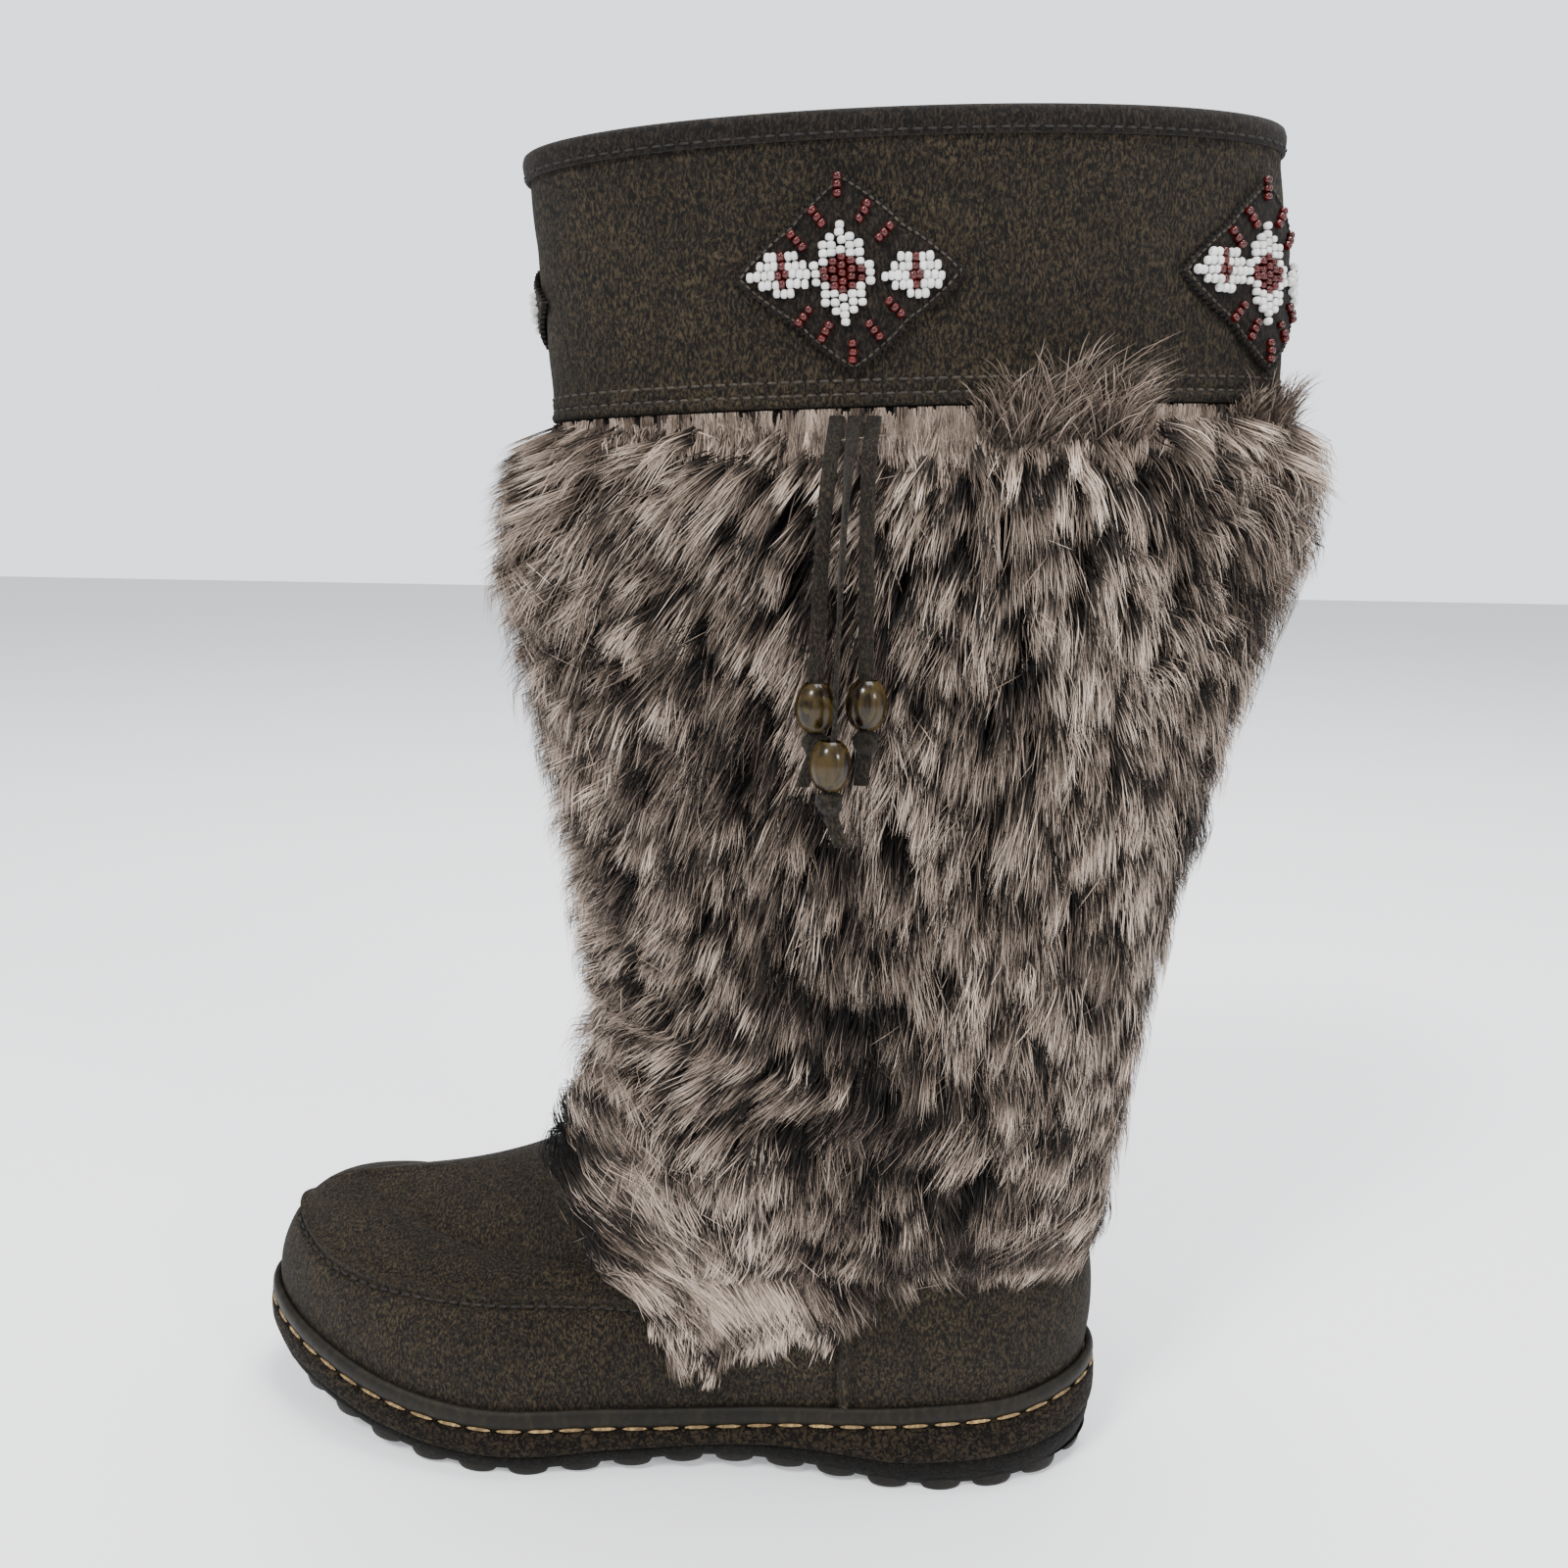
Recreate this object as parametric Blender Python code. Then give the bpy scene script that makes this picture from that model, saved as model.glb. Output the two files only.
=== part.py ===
"""A left snow boot: suede foot and shaft on a crepe sole, a long-haired pelt, a beaded collar.

Metres, +Z up. The origin lies on the floor under the middle of the heel, on the heel pad.
The toe points to -X and the outer (lateral) side of the foot to -Y.
A place on the boot is an angle and a level. The angle goes round the foot: 0 at the back of the
heel, pi/2 at the middle of the lateral side, pi at the toe, 3 pi/2 on the medial side. The level
is 0 at the feather line, 1 at the top of the side wall, 2 at the ankle and 3 at the top edge.
"""
import math
from collections import namedtuple

import bmesh
import bpy
from mathutils import Vector

# Sole
SOLE_LENGTH = 0.285
HEEL_BACK = 0.045
BALL_WIDTH = 0.103
HEEL_STACK = 0.0243
FOREFOOT_STACK = 0.0168
TOE_SPRING = 0.0155
HEEL_WEDGE = 0.0130
FOREFOOT_WEDGE = 0.0088
TREAD_DEPTH = 0.0040
ARCH_LIFT = 0.0040
WELT_HEIGHT = 0.0062
WELT_THICKNESS = 0.0028
WELT_TOP_SHARE = 0.6
LEDGE = 0.0008
OUTSOLE_TUCK = 0.0045

# Side lugs and tread pads
LUG_PITCH = 0.0167
LUG_LENGTH = 0.0136
LUG_HEIGHT = 0.0078
LUG_DEPTH = 0.0120
LUG_INSET = 0.0045
LUG_SINK = 0.85
PAD_ROOT = 0.002
HEEL_PAD_LENGTH = 0.036
HEEL_PAD_WIDTH = 0.028
TREAD_PAD_LENGTH = 0.026
TREAD_PAD_WIDTH = 0.018
TREAD_PAD_PITCH = 0.031
TREAD_PAD_OFFSET = 0.0135
BALL_SHARE = 0.66

# Upper
UPPER_WALL = 0.0022
WALL_HEIGHT = 0.046
TOE_ROLL = 0.0295
SIDE_BULGE = 0.0016
APRON_RIDGE = 0.0010
SIDE_SEAM_RIDGE = 0.0012
ANKLE_HEIGHT = 0.135
ANKLE_LENGTH = 0.137
ANKLE_WIDTH = 0.072
ANKLE_SET_IN = 0.008
ANKLE_RISE_TO_FRONT = 0.030
INSOLE_THICKNESS = 0.004
INSOLE_CLEARANCE = 0.0008

# Shaft and collar
SHAFT_TOP = 0.4036
COLLAR_HEIGHT = 0.0734
COLLAR_LENGTH = 0.2105
COLLAR_WIDTH = 0.073
COLLAR_CENTRE = -0.0215
COLLAR_RISE_TO_BACK = 0.0100
SHAFT_TWIST = 0.160
COLLAR_THICKNESS = 0.0016
BINDING_THICKNESS = 0.0011
BINDING_DROP = 0.0058
BINDING_CREST = 0.0018

# Pelt: how deep the hair stands on each side of the shaft
PELT_FRONT = 0.0270
PELT_SIDE = 0.0150
PELT_BACK = 0.0190
PELT_HEM = 0.0012
LOCK_DEPTH = 0.0040
LOCK_BASE = 0.35
LOCK_TIP = 0.07
LOCKS_AROUND = 12
LOCK_ROWS = 4
RINGS_PER_LOCK = 4
PELT_GAP = 0.0009
FRINGE_GAP = 0.0026
BACKING_STEP = 0.004

# Collar patches and their beadwork
PATCH_WIDTH = 0.063
PATCH_HEIGHT = 0.0515
PATCH_THICKNESS = 0.0012
PATCH_GAP = 0.0009
PATCH_CORNER = 0.0008
PATCH_DROP = 0.003
PATCH_SHIFT = 0.021
PATCH_ROWS = 8
FLAT_PATCH_COLUMNS = 4
ROUND_PATCH_COLUMNS = 16
BEADWORK_HEIGHT = 0.0019
LOZENGE_WIDTH = 0.0180
LOZENGE_HEIGHT = 0.0290
OVAL_WIDTH = 0.0185
OVAL_HEIGHT = 0.0125
OVAL_OFFSET = 0.0195

# Tassel
STRIP_WIDTH = 0.0040
STRIP_THICKNESS = 0.0012
BEAD_DIAMETER = 0.0112
BEAD_LENGTH = 0.0132
BEAD_BORE = 0.0056
KNOT_WIDTH = 0.0070
KNOT_HEIGHT = 0.0062

GAP = 0.0003

# Plan outline of the sole edge: half widths as shares of the ball width
Outline = namedtuple("Outline", "share lateral medial")
OUTLINE = [
    Outline(0.02, 0.152, 0.152),
    Outline(0.08, 0.280, 0.280),
    Outline(0.20, 0.370, 0.366),
    Outline(0.38, 0.372, 0.355),
    Outline(0.52, 0.428, 0.388),
    Outline(0.68, 0.500, 0.492),
    Outline(0.80, 0.448, 0.508),
    Outline(0.90, 0.330, 0.424),
    Outline(0.97, 0.176, 0.252),
]

# Edge of the outsole and of the midsole: outwards as shares of the tuck and of the ledge, and up
SoleEdge = namedtuple("SoleEdge", "out up")
OUTSOLE_EDGE = [SoleEdge(-1.00, 0.00), SoleEdge(-0.49, 0.30), SoleEdge(-0.09, 0.70), SoleEdge(-0.13, 1.00)]
MIDSOLE_EDGE = [SoleEdge(-0.25, 0.00), SoleEdge(1.00, 0.30), SoleEdge(1.00, 0.75), SoleEdge(0.50, 1.00)]

# Height lines of the sole along its length, as shares of the named heights
HeightLine = namedtuple("HeightLine", "share heel spring wedge arch")
HEIGHT_LINES = [
    HeightLine(0.00, 1.90, 0.00, 1.00, 0.90),
    HeightLine(0.04, 1.55, 0.00, 1.00, 0.45),
    HeightLine(0.10, 1.16, 0.00, 1.00, 0.06),
    HeightLine(0.18, 1.00, 0.00, 1.00, 0.00),
    HeightLine(0.31, 0.50, 0.00, -0.15, 0.75),
    HeightLine(0.42, 0.10, 0.00, -0.70, 1.00),
    HeightLine(0.53, 0.00, 0.00, -0.40, 0.45),
    HeightLine(0.62, 0.00, 0.00, 0.00, 0.00),
    HeightLine(0.70, 0.00, 0.03, 0.00, 0.00),
    HeightLine(0.80, 0.00, 0.24, 0.00, 0.00),
    HeightLine(0.90, 0.00, 0.62, 0.00, 0.00),
    HeightLine(1.00, 0.00, 1.00, 0.00, 0.00),
]

# Side wall of the foot: roll as a share of the toe roll, height of the wall height
Wall = namedtuple("Wall", "share roll height upright")
WALLS = [
    Wall(0.00, 0.03, 1.00, 1.00),
    Wall(0.30, 0.10, 1.05, 1.00),
    Wall(0.50, 0.45, 1.05, 0.50),
    Wall(0.68, 0.80, 0.98, 0.12),
    Wall(0.85, 0.95, 0.94, 0.00),
    Wall(1.00, 1.00, 0.90, 0.00),
]

# From the top of the side wall to the ankle: shares of the way in plan and in height
Instep = namedtuple("Instep", "level front_in front_up side_in side_up back_in back_up")
INSTEP = [
    Instep(0.00, 0.00, 0.000, 0.00, 0.00, 0.00, 0.00),
    Instep(0.17, 0.13, 0.038, 0.15, 0.06, 0.10, 0.17),
    Instep(0.34, 0.30, 0.078, 0.32, 0.15, 0.25, 0.34),
    Instep(0.50, 0.48, 0.134, 0.50, 0.30, 0.45, 0.50),
    Instep(0.64, 0.62, 0.206, 0.64, 0.48, 0.62, 0.64),
    Instep(0.77, 0.76, 0.360, 0.77, 0.67, 0.78, 0.77),
    Instep(0.89, 0.90, 0.630, 0.89, 0.85, 0.90, 0.89),
    Instep(1.00, 1.00, 1.000, 1.00, 1.00, 1.00, 1.00),
]

# Shaft from the ankle to the top edge: each column is a share of the way to the collar's value
Shaft = namedtuple("Shaft", "level length width centre twist lean")
SHAFT = [
    Shaft(0.00, 0.00, 0.00, 0.00, 0.00, 0.00),
    Shaft(0.15, 0.14, 0.45, 0.05, 0.15, 0.30),
    Shaft(0.35, 0.44, 1.20, 0.30, 0.45, 0.62),
    Shaft(0.55, 0.75, 1.25, 0.65, 0.80, 0.85),
    Shaft(0.72, 0.98, 1.00, 1.00, 1.00, 0.95),
    Shaft(1.00, 1.00, 1.00, 0.43, 1.00, 1.00),
]

# Lower edge of the pelt: the level it reaches at each share of the foot's length
Fringe = namedtuple("Fringe", "share level")
FRINGE = [
    Fringe(0.00, 0.84),
    Fringe(0.10, 1.04),
    Fringe(0.18, 0.98),
    Fringe(0.24, 0.76),
    Fringe(0.30, 0.62),
    Fringe(0.38, 0.48),
    Fringe(0.44, 0.32),
    Fringe(0.49, 0.55),
    Fringe(0.55, 0.96),
    Fringe(0.62, 1.15),
    Fringe(0.72, 1.34),
    Fringe(0.85, 1.56),
    Fringe(1.00, 1.66),
]

LOWEST_FRINGE = min(row.level for row in FRINGE)

# Depth of the pelt from its hem under the collar down to its lower edge, as shares
Depth = namedtuple("Depth", "down front side back")
PELT_DEPTHS = [
    Depth(0.00, 0.00, 0.00, 0.00),
    Depth(0.03, 0.85, 0.25, 0.90),
    Depth(0.08, 1.20, 0.60, 1.34),
    Depth(0.16, 1.18, 0.90, 1.26),
    Depth(0.30, 1.02, 1.00, 0.98),
    Depth(0.50, 0.98, 1.00, 0.88),
    Depth(0.78, 0.90, 1.00, 0.80),
    Depth(0.93, 0.66, 0.80, 0.52),
    Depth(1.00, 0.20, 0.25, 0.20),
]

# Section of a bead medallion: reach from its centre and height, both as shares
Raised = namedtuple("Raised", "reach height")
MEDALLION = [Raised(0.30, 0.0), Raised(0.65, 0.0), Raised(1.00, 0.0), Raised(0.80, 1.0), Raised(0.35, 1.0)]

# Knot and its tail, from the bead down: widths as shares of the knot's width, sway of its lean
Knot = namedtuple("Knot", "down wide deep sway")
KNOT = [
    Knot(0.00, 0.50, 0.45, 0.00),
    Knot(0.22, 0.95, 0.80, 0.00),
    Knot(0.55, 1.00, 0.85, 0.00),
    Knot(0.85, 0.80, 0.65, 0.00),
    Knot(1.00, 0.56, 0.20, 0.10),
    Knot(1.73, 0.57, 0.17, 0.60),
    Knot(2.45, 0.57, 0.17, 1.10),
]

# Oval bead: height up the bead and radius from the bore to the widest, as shares
BeadRing = namedtuple("BeadRing", "up swell")
BEAD = [
    BeadRing(0.03, 0.00),
    BeadRing(0.17, 0.67),
    BeadRing(0.34, 0.92),
    BeadRing(0.50, 1.00),
    BeadRing(0.66, 0.92),
    BeadRing(0.83, 0.67),
    BeadRing(0.97, 0.00),
]

# Routes of the tassel's strips from the seam down to the knots, in metres
ROUTE_REAR = [
    (-0.0308, -0.0416, 0.3268),
    (-0.0312, -0.0500, 0.3150),
    (-0.0308, -0.0560, 0.2950),
    (-0.0302, -0.0585, 0.2700),
    (-0.0296, -0.0600, 0.2455),
]
ROUTE_FORE = [
    (-0.0407, -0.0416, 0.3268),
    (-0.0414, -0.0500, 0.3150),
    (-0.0424, -0.0560, 0.2950),
    (-0.0430, -0.0585, 0.2700),
    (-0.0432, -0.0600, 0.2445),
]
ROUTE_LONG = [
    (-0.0358, -0.0420, 0.3268),
    (-0.0362, -0.0515, 0.3150),
    (-0.0366, -0.0600, 0.2950),
    (-0.0368, -0.0660, 0.2700),
    (-0.0370, -0.0692, 0.2500),
    (-0.0380, -0.0692, 0.2305),
]
ROUTE_POINTS = 16
TWIST_POINTS = 5
LONG_STRIP_TURN = 1.4

RING_STATIONS = 22
SEAM_SHARE = 0.275
SEAM_SPREAD = 0.05
APRON_SPREAD = 0.06
WELT_COVER = 0.2
EPSILON = 0.0005


def curve_through(keys, values):
    """A smooth curve through the rows of a table that never overshoots a row."""
    spans = [b - a for a, b in zip(keys, keys[1:])]
    slopes = [(b - a) / s for a, b, s in zip(values, values[1:], spans)]
    tangents = [slopes[0]]
    for before, after in zip(slopes, slopes[1:]):
        tangents.append(2 * before * after / (before + after) if before * after > 0 else 0.0)
    tangents.append(slopes[-1])

    def value(key):
        key = min(max(key, keys[0]), keys[-1])
        i = 0
        while i < len(spans) - 1 and key > keys[i + 1]:
            i += 1
        t = (key - keys[i]) / spans[i]
        start = values[i] * (1 + 2 * t) * (1 - t) ** 2
        end = values[i + 1] * t * t * (3 - 2 * t)
        bend = tangents[i] * t * (1 - t) ** 2 - tangents[i + 1] * t * t * (1 - t)
        return start + end + bend * spans[i]

    return value


def column(table, key, name):
    return curve_through([getattr(row, key) for row in table], [getattr(row, name) for row in table])


def mix(a, b, share):
    return a + (b - a) * share


def angle_of(share):
    """The angle at which the foot's outline has gone a share of its length from the heel."""
    return math.acos(1 - 2 * share)


def share_of(angle):
    return (1 - math.cos(angle)) / 2


def outline_ratio(side):
    angles = [angle_of(row.share) for row in OUTLINE]
    ratios = [getattr(row, side) / math.sin(a) for row, a in zip(OUTLINE, angles)]
    return curve_through(angles, ratios)


RATIO = {side: outline_ratio(side) for side in ("lateral", "medial")}
HEEL_LINE = column(HEIGHT_LINES, "share", "heel")
SPRING_LINE = column(HEIGHT_LINES, "share", "spring")
WEDGE_LINE = column(HEIGHT_LINES, "share", "wedge")
ARCH_LINE = column(HEIGHT_LINES, "share", "arch")
WALL_ROLL = column(WALLS, "share", "roll")
WALL_RISE = column(WALLS, "share", "height")
WALL_UPRIGHT = column(WALLS, "share", "upright")
INSTEP_LINES = {name: column(INSTEP, "level", name) for name in Instep._fields[1:]}
SHAFT_LINES = {name: column(SHAFT, "level", name) for name in Shaft._fields[1:]}
FRINGE_LINE = column(FRINGE, "share", "level")
DEPTH_LINES = {name: column(PELT_DEPTHS, "down", name) for name in Depth._fields[1:]}


def outline(angle, out=0.0):
    """Plan point of the sole's edge, moved outwards."""

    def edge(a):
        side = "lateral" if math.sin(a) >= 0 else "medial"
        folded = math.acos(math.cos(a))
        half = BALL_WIDTH * RATIO[side](folded) * math.sin(folded)
        y = -half if side == "lateral" else half
        return Vector((HEEL_BACK - SOLE_LENGTH * share_of(a), y))

    along = (edge(angle + EPSILON) - edge(angle - EPSILON)).normalized()
    return edge(angle) + Vector((-along.y, along.x)) * out


def stitch_height(angle):
    """Height of the seam between the welt and the midsole."""
    share = share_of(angle)
    heel = (HEEL_STACK - FOREFOOT_STACK) * HEEL_LINE(share)
    return FOREFOOT_STACK + heel + TOE_SPRING * SPRING_LINE(share)


def parting_height(angle):
    """Height of the line between the midsole and the outsole."""
    return stitch_height(angle) - mix(FOREFOOT_WEDGE, HEEL_WEDGE, WEDGE_LINE(share_of(angle)))


def tread_height(angle):
    """Height of the outsole's under face between the lugs."""
    share = share_of(angle)
    return TREAD_DEPTH + ARCH_LIFT * ARCH_LINE(share) + TOE_SPRING * SPRING_LINE(share)


def ankle_point(angle):
    return shaft_point(angle, 0.0)


def shaft_point(angle, level):
    lines = {name: line(level) for name, line in SHAFT_LINES.items()}
    ankle_centre = HEEL_BACK - ANKLE_SET_IN - ANKLE_LENGTH / 2
    long_axis = mix(ANKLE_LENGTH, COLLAR_LENGTH, lines["length"]) / 2
    short_axis = mix(ANKLE_WIDTH, COLLAR_WIDTH, lines["width"]) / 2
    centre = mix(ankle_centre, COLLAR_CENTRE, lines["centre"])
    turn = SHAFT_TWIST * lines["twist"]
    x = long_axis * math.cos(angle)
    y = -short_axis * math.sin(angle)
    rise = mix(-ANKLE_RISE_TO_FRONT / ANKLE_LENGTH, COLLAR_RISE_TO_BACK / COLLAR_LENGTH, lines["lean"])
    height = mix(ANKLE_HEIGHT, SHAFT_TOP, level) + rise * x
    turned_x = x * math.cos(turn) - y * math.sin(turn)
    turned_y = x * math.sin(turn) + y * math.cos(turn)
    return Vector((centre + turned_x, turned_y, height))


def wall_point(angle, level):
    """The side wall of the foot, which rolls over into the top of the toe."""
    share = share_of(angle)
    upright = WALL_UPRIGHT(share)
    quarter = level * math.pi / 2
    inward = mix(1 - math.cos(quarter), level * level, upright) * TOE_ROLL * WALL_ROLL(share)
    inward -= SIDE_BULGE * math.sin(level * math.pi)
    up = mix(math.sin(quarter), level, upright) * WALL_HEIGHT * WALL_RISE(share)
    plan = outline(angle, -WELT_THICKNESS - GAP - inward)
    return Vector((plan.x, plan.y, stitch_height(angle) + GAP + up))


def level_at_height(angle, height):
    """The level at which the side wall is a height above the feather line."""
    share = share_of(angle)
    part = min(height / (WALL_HEIGHT * WALL_RISE(share)), 1.0)
    return mix(math.asin(part) * 2 / math.pi, part, WALL_UPRIGHT(share))


def instep_point(angle, level):
    """The top of the foot, from the side wall up to the ankle."""
    front = max(0.0, -math.cos(angle)) ** 1.5
    back = max(0.0, math.cos(angle)) ** 1.5
    side = 1 - front - back
    parts = (("front", front), ("side", side), ("back", back))
    inward = sum(weight * INSTEP_LINES[name + "_in"](level) for name, weight in parts)
    up = sum(weight * INSTEP_LINES[name + "_up"](level) for name, weight in parts)
    low = wall_point(angle, 1.0)
    high = ankle_point(angle)
    x = mix(low.x, high.x, inward)
    y = mix(low.y, high.y, inward)
    return Vector((x, y, mix(low.z, high.z, up)))


def body_point(angle, level):
    if level <= 1:
        return wall_point(angle, level)
    if level <= 2:
        return instep_point(angle, level - 1)
    return shaft_point(angle, level - 2)


def body_normal(angle, level):
    around = body_point(angle + EPSILON * 10, level) - body_point(angle - EPSILON * 10, level)
    low = max(level - EPSILON * 20, 0.0)
    upward = body_point(angle, level + EPSILON * 20) - body_point(angle, low)
    return upward.cross(around).normalized()


def on_body(angle, level, out):
    """A point at a distance outwards from the smooth outer surface of the upper."""
    return body_point(angle, level) + body_normal(angle, level) * out


def collar_level(below_top):
    """The level at a height below the top edge."""
    return 3 - below_top / (SHAFT_TOP - ANKLE_HEIGHT)


def collar_levels(top):
    """Levels from the collar's lower edge to a depth below the top edge."""
    return [collar_level(mix(COLLAR_HEIGHT, top, share)) for share in (0.0, 0.33, 0.66, 1.0)]


def upper_levels():
    """Levels of the rings of the upper's outer face, from the feather line to the top edge."""
    wall = [0.0, 0.17, 0.22, 0.4, 0.6, 0.8, 0.94, 1.0, 1.06]
    instep = [1.17, 1.34, 1.5, 1.64, 1.77, 1.89, 2.0]
    shaft = [2.12, 2.26, 2.42, 2.58]
    return wall + instep + shaft + collar_levels(0.0)


def ring_angles():
    """Angles round the foot, the same on both sides, with three close ones at the side seam."""
    seam = angle_of(SEAM_SHARE)
    half = [math.pi * i / RING_STATIONS for i in range(RING_STATIONS + 1)]
    half = [a for a in half if abs(a - seam) > SEAM_SPREAD * 1.5]
    half = sorted(half + [seam - SEAM_SPREAD, seam, seam + SEAM_SPREAD])
    return half + [2 * math.pi - a for a in reversed(half[1:-1])]


def bump(distance, width):
    """1 at a seam's line, falling to 0 at its width."""
    return max(0.0, 1 - abs(distance) / width)


def extrude_ring(mesh, ring, places):
    """Extrude a closed ring of vertices and move the new ring to its places."""
    edges = [mesh.edges.get((a, b)) for a, b in zip(ring, ring[1:] + ring[:1])]
    made = bmesh.ops.extrude_edge_only(mesh, edges=edges)["geom"]
    new = {v for v in made if isinstance(v, bmesh.types.BMVert)}
    matched = [next(e.other_vert(v) for e in v.link_edges if e.other_vert(v) in new) for v in ring]
    for vert, place in zip(matched, places):
        vert.co = place
    return matched


def loft(rings, ends="closed"):
    """A solid through closed rings: ends are capped, meet each other, or are capped in strips."""
    mesh = bmesh.new()
    first = [mesh.verts.new(place) for place in rings[0]]
    for a, b in zip(first, first[1:] + first[:1]):
        mesh.edges.new((a, b))
    last = first
    for ring in rings[1:]:
        last = extrude_ring(mesh, last, ring)
    count = len(first)
    if ends == "tube":
        for i in range(count):
            after = (i + 1) % count
            mesh.faces.new((first[i], first[after], last[after], last[i]))
    elif ends == "strips":
        for ring in (first, last):
            half = count // 2
            mesh.faces.new((ring[0], ring[1], ring[-1]))
            for i in range(1, half - 1):
                mesh.faces.new((ring[i], ring[i + 1], ring[-i - 1], ring[-i]))
            mesh.faces.new((ring[half - 1], ring[half], ring[half + 1]))
    else:
        mesh.faces.new(first)
        mesh.faces.new(last)
    bmesh.ops.recalc_face_normals(mesh, faces=mesh.faces)
    return mesh


def material(name, colour, roughness, metallic=0.0):
    made = bpy.data.materials.get(name) or bpy.data.materials.new(name)
    made.use_nodes = True
    shader = made.node_tree.nodes["Principled BSDF"]
    shader.inputs["Base Color"].default_value = (*colour, 1.0)
    shader.inputs["Roughness"].default_value = roughness
    shader.inputs["Metallic"].default_value = metallic
    return made


def add_object(name, mesh, finish, sharp_from=40):
    data = bpy.data.meshes.new(name)
    mesh.to_mesh(data)
    mesh.free()
    data.shade_smooth()
    data.set_sharp_from_angle(angle=math.radians(sharp_from))
    data.materials.append(finish)
    item = bpy.data.objects.new(name, data)
    bpy.context.scene.collection.objects.link(item)
    return item


def sole_ring(out, height):
    return [Vector((*outline(a, out), height(a))) for a in ring_angles()]


def flat_oval(mesh, centre, length, width, high, sides):
    """An upright oval prism, with flat ends, that stands on the floor."""
    ends = bmesh.ops.create_circle(mesh, cap_ends=True, segments=sides, radius=0.5)["verts"]
    for vert in ends:
        vert.co = Vector((centre.x + vert.co.x * length, centre.y + vert.co.y * width, 0.0))
    face = next(f for f in ends[0].link_faces if len(f.verts) == sides)
    top = bmesh.ops.extrude_face_region(mesh, geom=[face])["geom"]
    for vert in top:
        if isinstance(vert, bmesh.types.BMVert):
            vert.co.z = high


def edge_lug(mesh, angle):
    """A rounded lug that stands at the edge of the tread and shows at the side of the sole."""
    ball = bmesh.ops.create_uvsphere(mesh, u_segments=8, v_segments=3, radius=0.5)["verts"]
    ahead = outline(angle + EPSILON) - outline(angle - EPSILON)
    turn = math.atan2(ahead.y, ahead.x)
    plan = outline(angle, -LUG_INSET)
    low = tread_height(angle) - TREAD_DEPTH
    for vert in ball:
        along = vert.co.x * LUG_LENGTH
        across = vert.co.y * LUG_DEPTH
        x = plan.x + along * math.cos(turn) - across * math.sin(turn)
        y = plan.y + along * math.sin(turn) + across * math.cos(turn)
        up = LUG_HEIGHT / 2 * LUG_SINK + vert.co.z * LUG_HEIGHT
        vert.co = Vector((x, y, low + max(up, 0.0)))


def lug_angles():
    """Angles of the edge lugs, one lug pitch apart along the outline."""
    steps = 2000
    angles = [2 * math.pi * i / steps for i in range(steps + 1)]
    places = [outline(a, -LUG_INSET) for a in angles]
    travel = [0.0]
    for a, b in zip(places, places[1:]):
        travel.append(travel[-1] + (b - a).length)
    count = round(travel[-1] / LUG_PITCH)
    found = []
    for i in range(count):
        goal = travel[-1] * (i + 0.5) / count
        k = next(j for j, reached in enumerate(travel) if reached >= goal)
        found.append(angles[k])
    return found


def build_outsole(finish):
    def between(share):
        return lambda a: mix(tread_height(a), parting_height(a) - GAP / 2, share)

    rings = [sole_ring(OUTSOLE_TUCK * row.out, between(row.up)) for row in OUTSOLE_EDGE]
    item = add_object("outsole", loft(rings, "strips"), finish)
    lugs = bmesh.new()
    for angle in lug_angles():
        edge_lug(lugs, angle)
    top = TREAD_DEPTH + PAD_ROOT
    flat_oval(lugs, Vector((0, 0)), HEEL_PAD_LENGTH, HEEL_PAD_WIDTH, top, 16)
    ball_x = HEEL_BACK - SOLE_LENGTH * BALL_SHARE
    for column_index in (-1, 0, 1):
        for side in (-1, 1):
            place = Vector((ball_x + column_index * TREAD_PAD_PITCH, side * TREAD_PAD_OFFSET))
            flat_oval(lugs, place, TREAD_PAD_LENGTH, TREAD_PAD_WIDTH, top, 12)
    bmesh.ops.recalc_face_normals(lugs, faces=lugs.faces)
    cutter = add_object("tread_lugs", lugs, finish)
    cutter.hide_render = True
    cutter.display_type = "WIRE"
    join = item.modifiers.new("lugs", "BOOLEAN")
    join.operation = "UNION"
    join.solver = "EXACT"
    join.object = cutter


def build_midsole(finish):
    def between(share):
        return lambda a: mix(parting_height(a) + GAP / 2, stitch_height(a), share)

    rings = [sole_ring(LEDGE * row.out, between(row.up)) for row in MIDSOLE_EDGE]
    add_object("midsole", loft(rings, "strips"), finish)


def build_welt(finish):
    """A strip round the foot of the upper, with a rounded top edge."""

    def at(out, up):
        return sole_ring(out, lambda a: stitch_height(a) + up)

    def against_wall(out):
        """The top edge leans with the side wall of the upper."""
        return [on_body(a, level_at_height(a, WELT_HEIGHT), out) for a in ring_angles()]

    rings = [
        at(-WELT_THICKNESS, GAP),
        at(0.0, GAP),
        at(0.0, WELT_HEIGHT / 2),
        against_wall(GAP + WELT_THICKNESS * WELT_TOP_SHARE),
        against_wall(GAP),
    ]
    add_object("welt", loft(rings, "tube"), finish)


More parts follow.
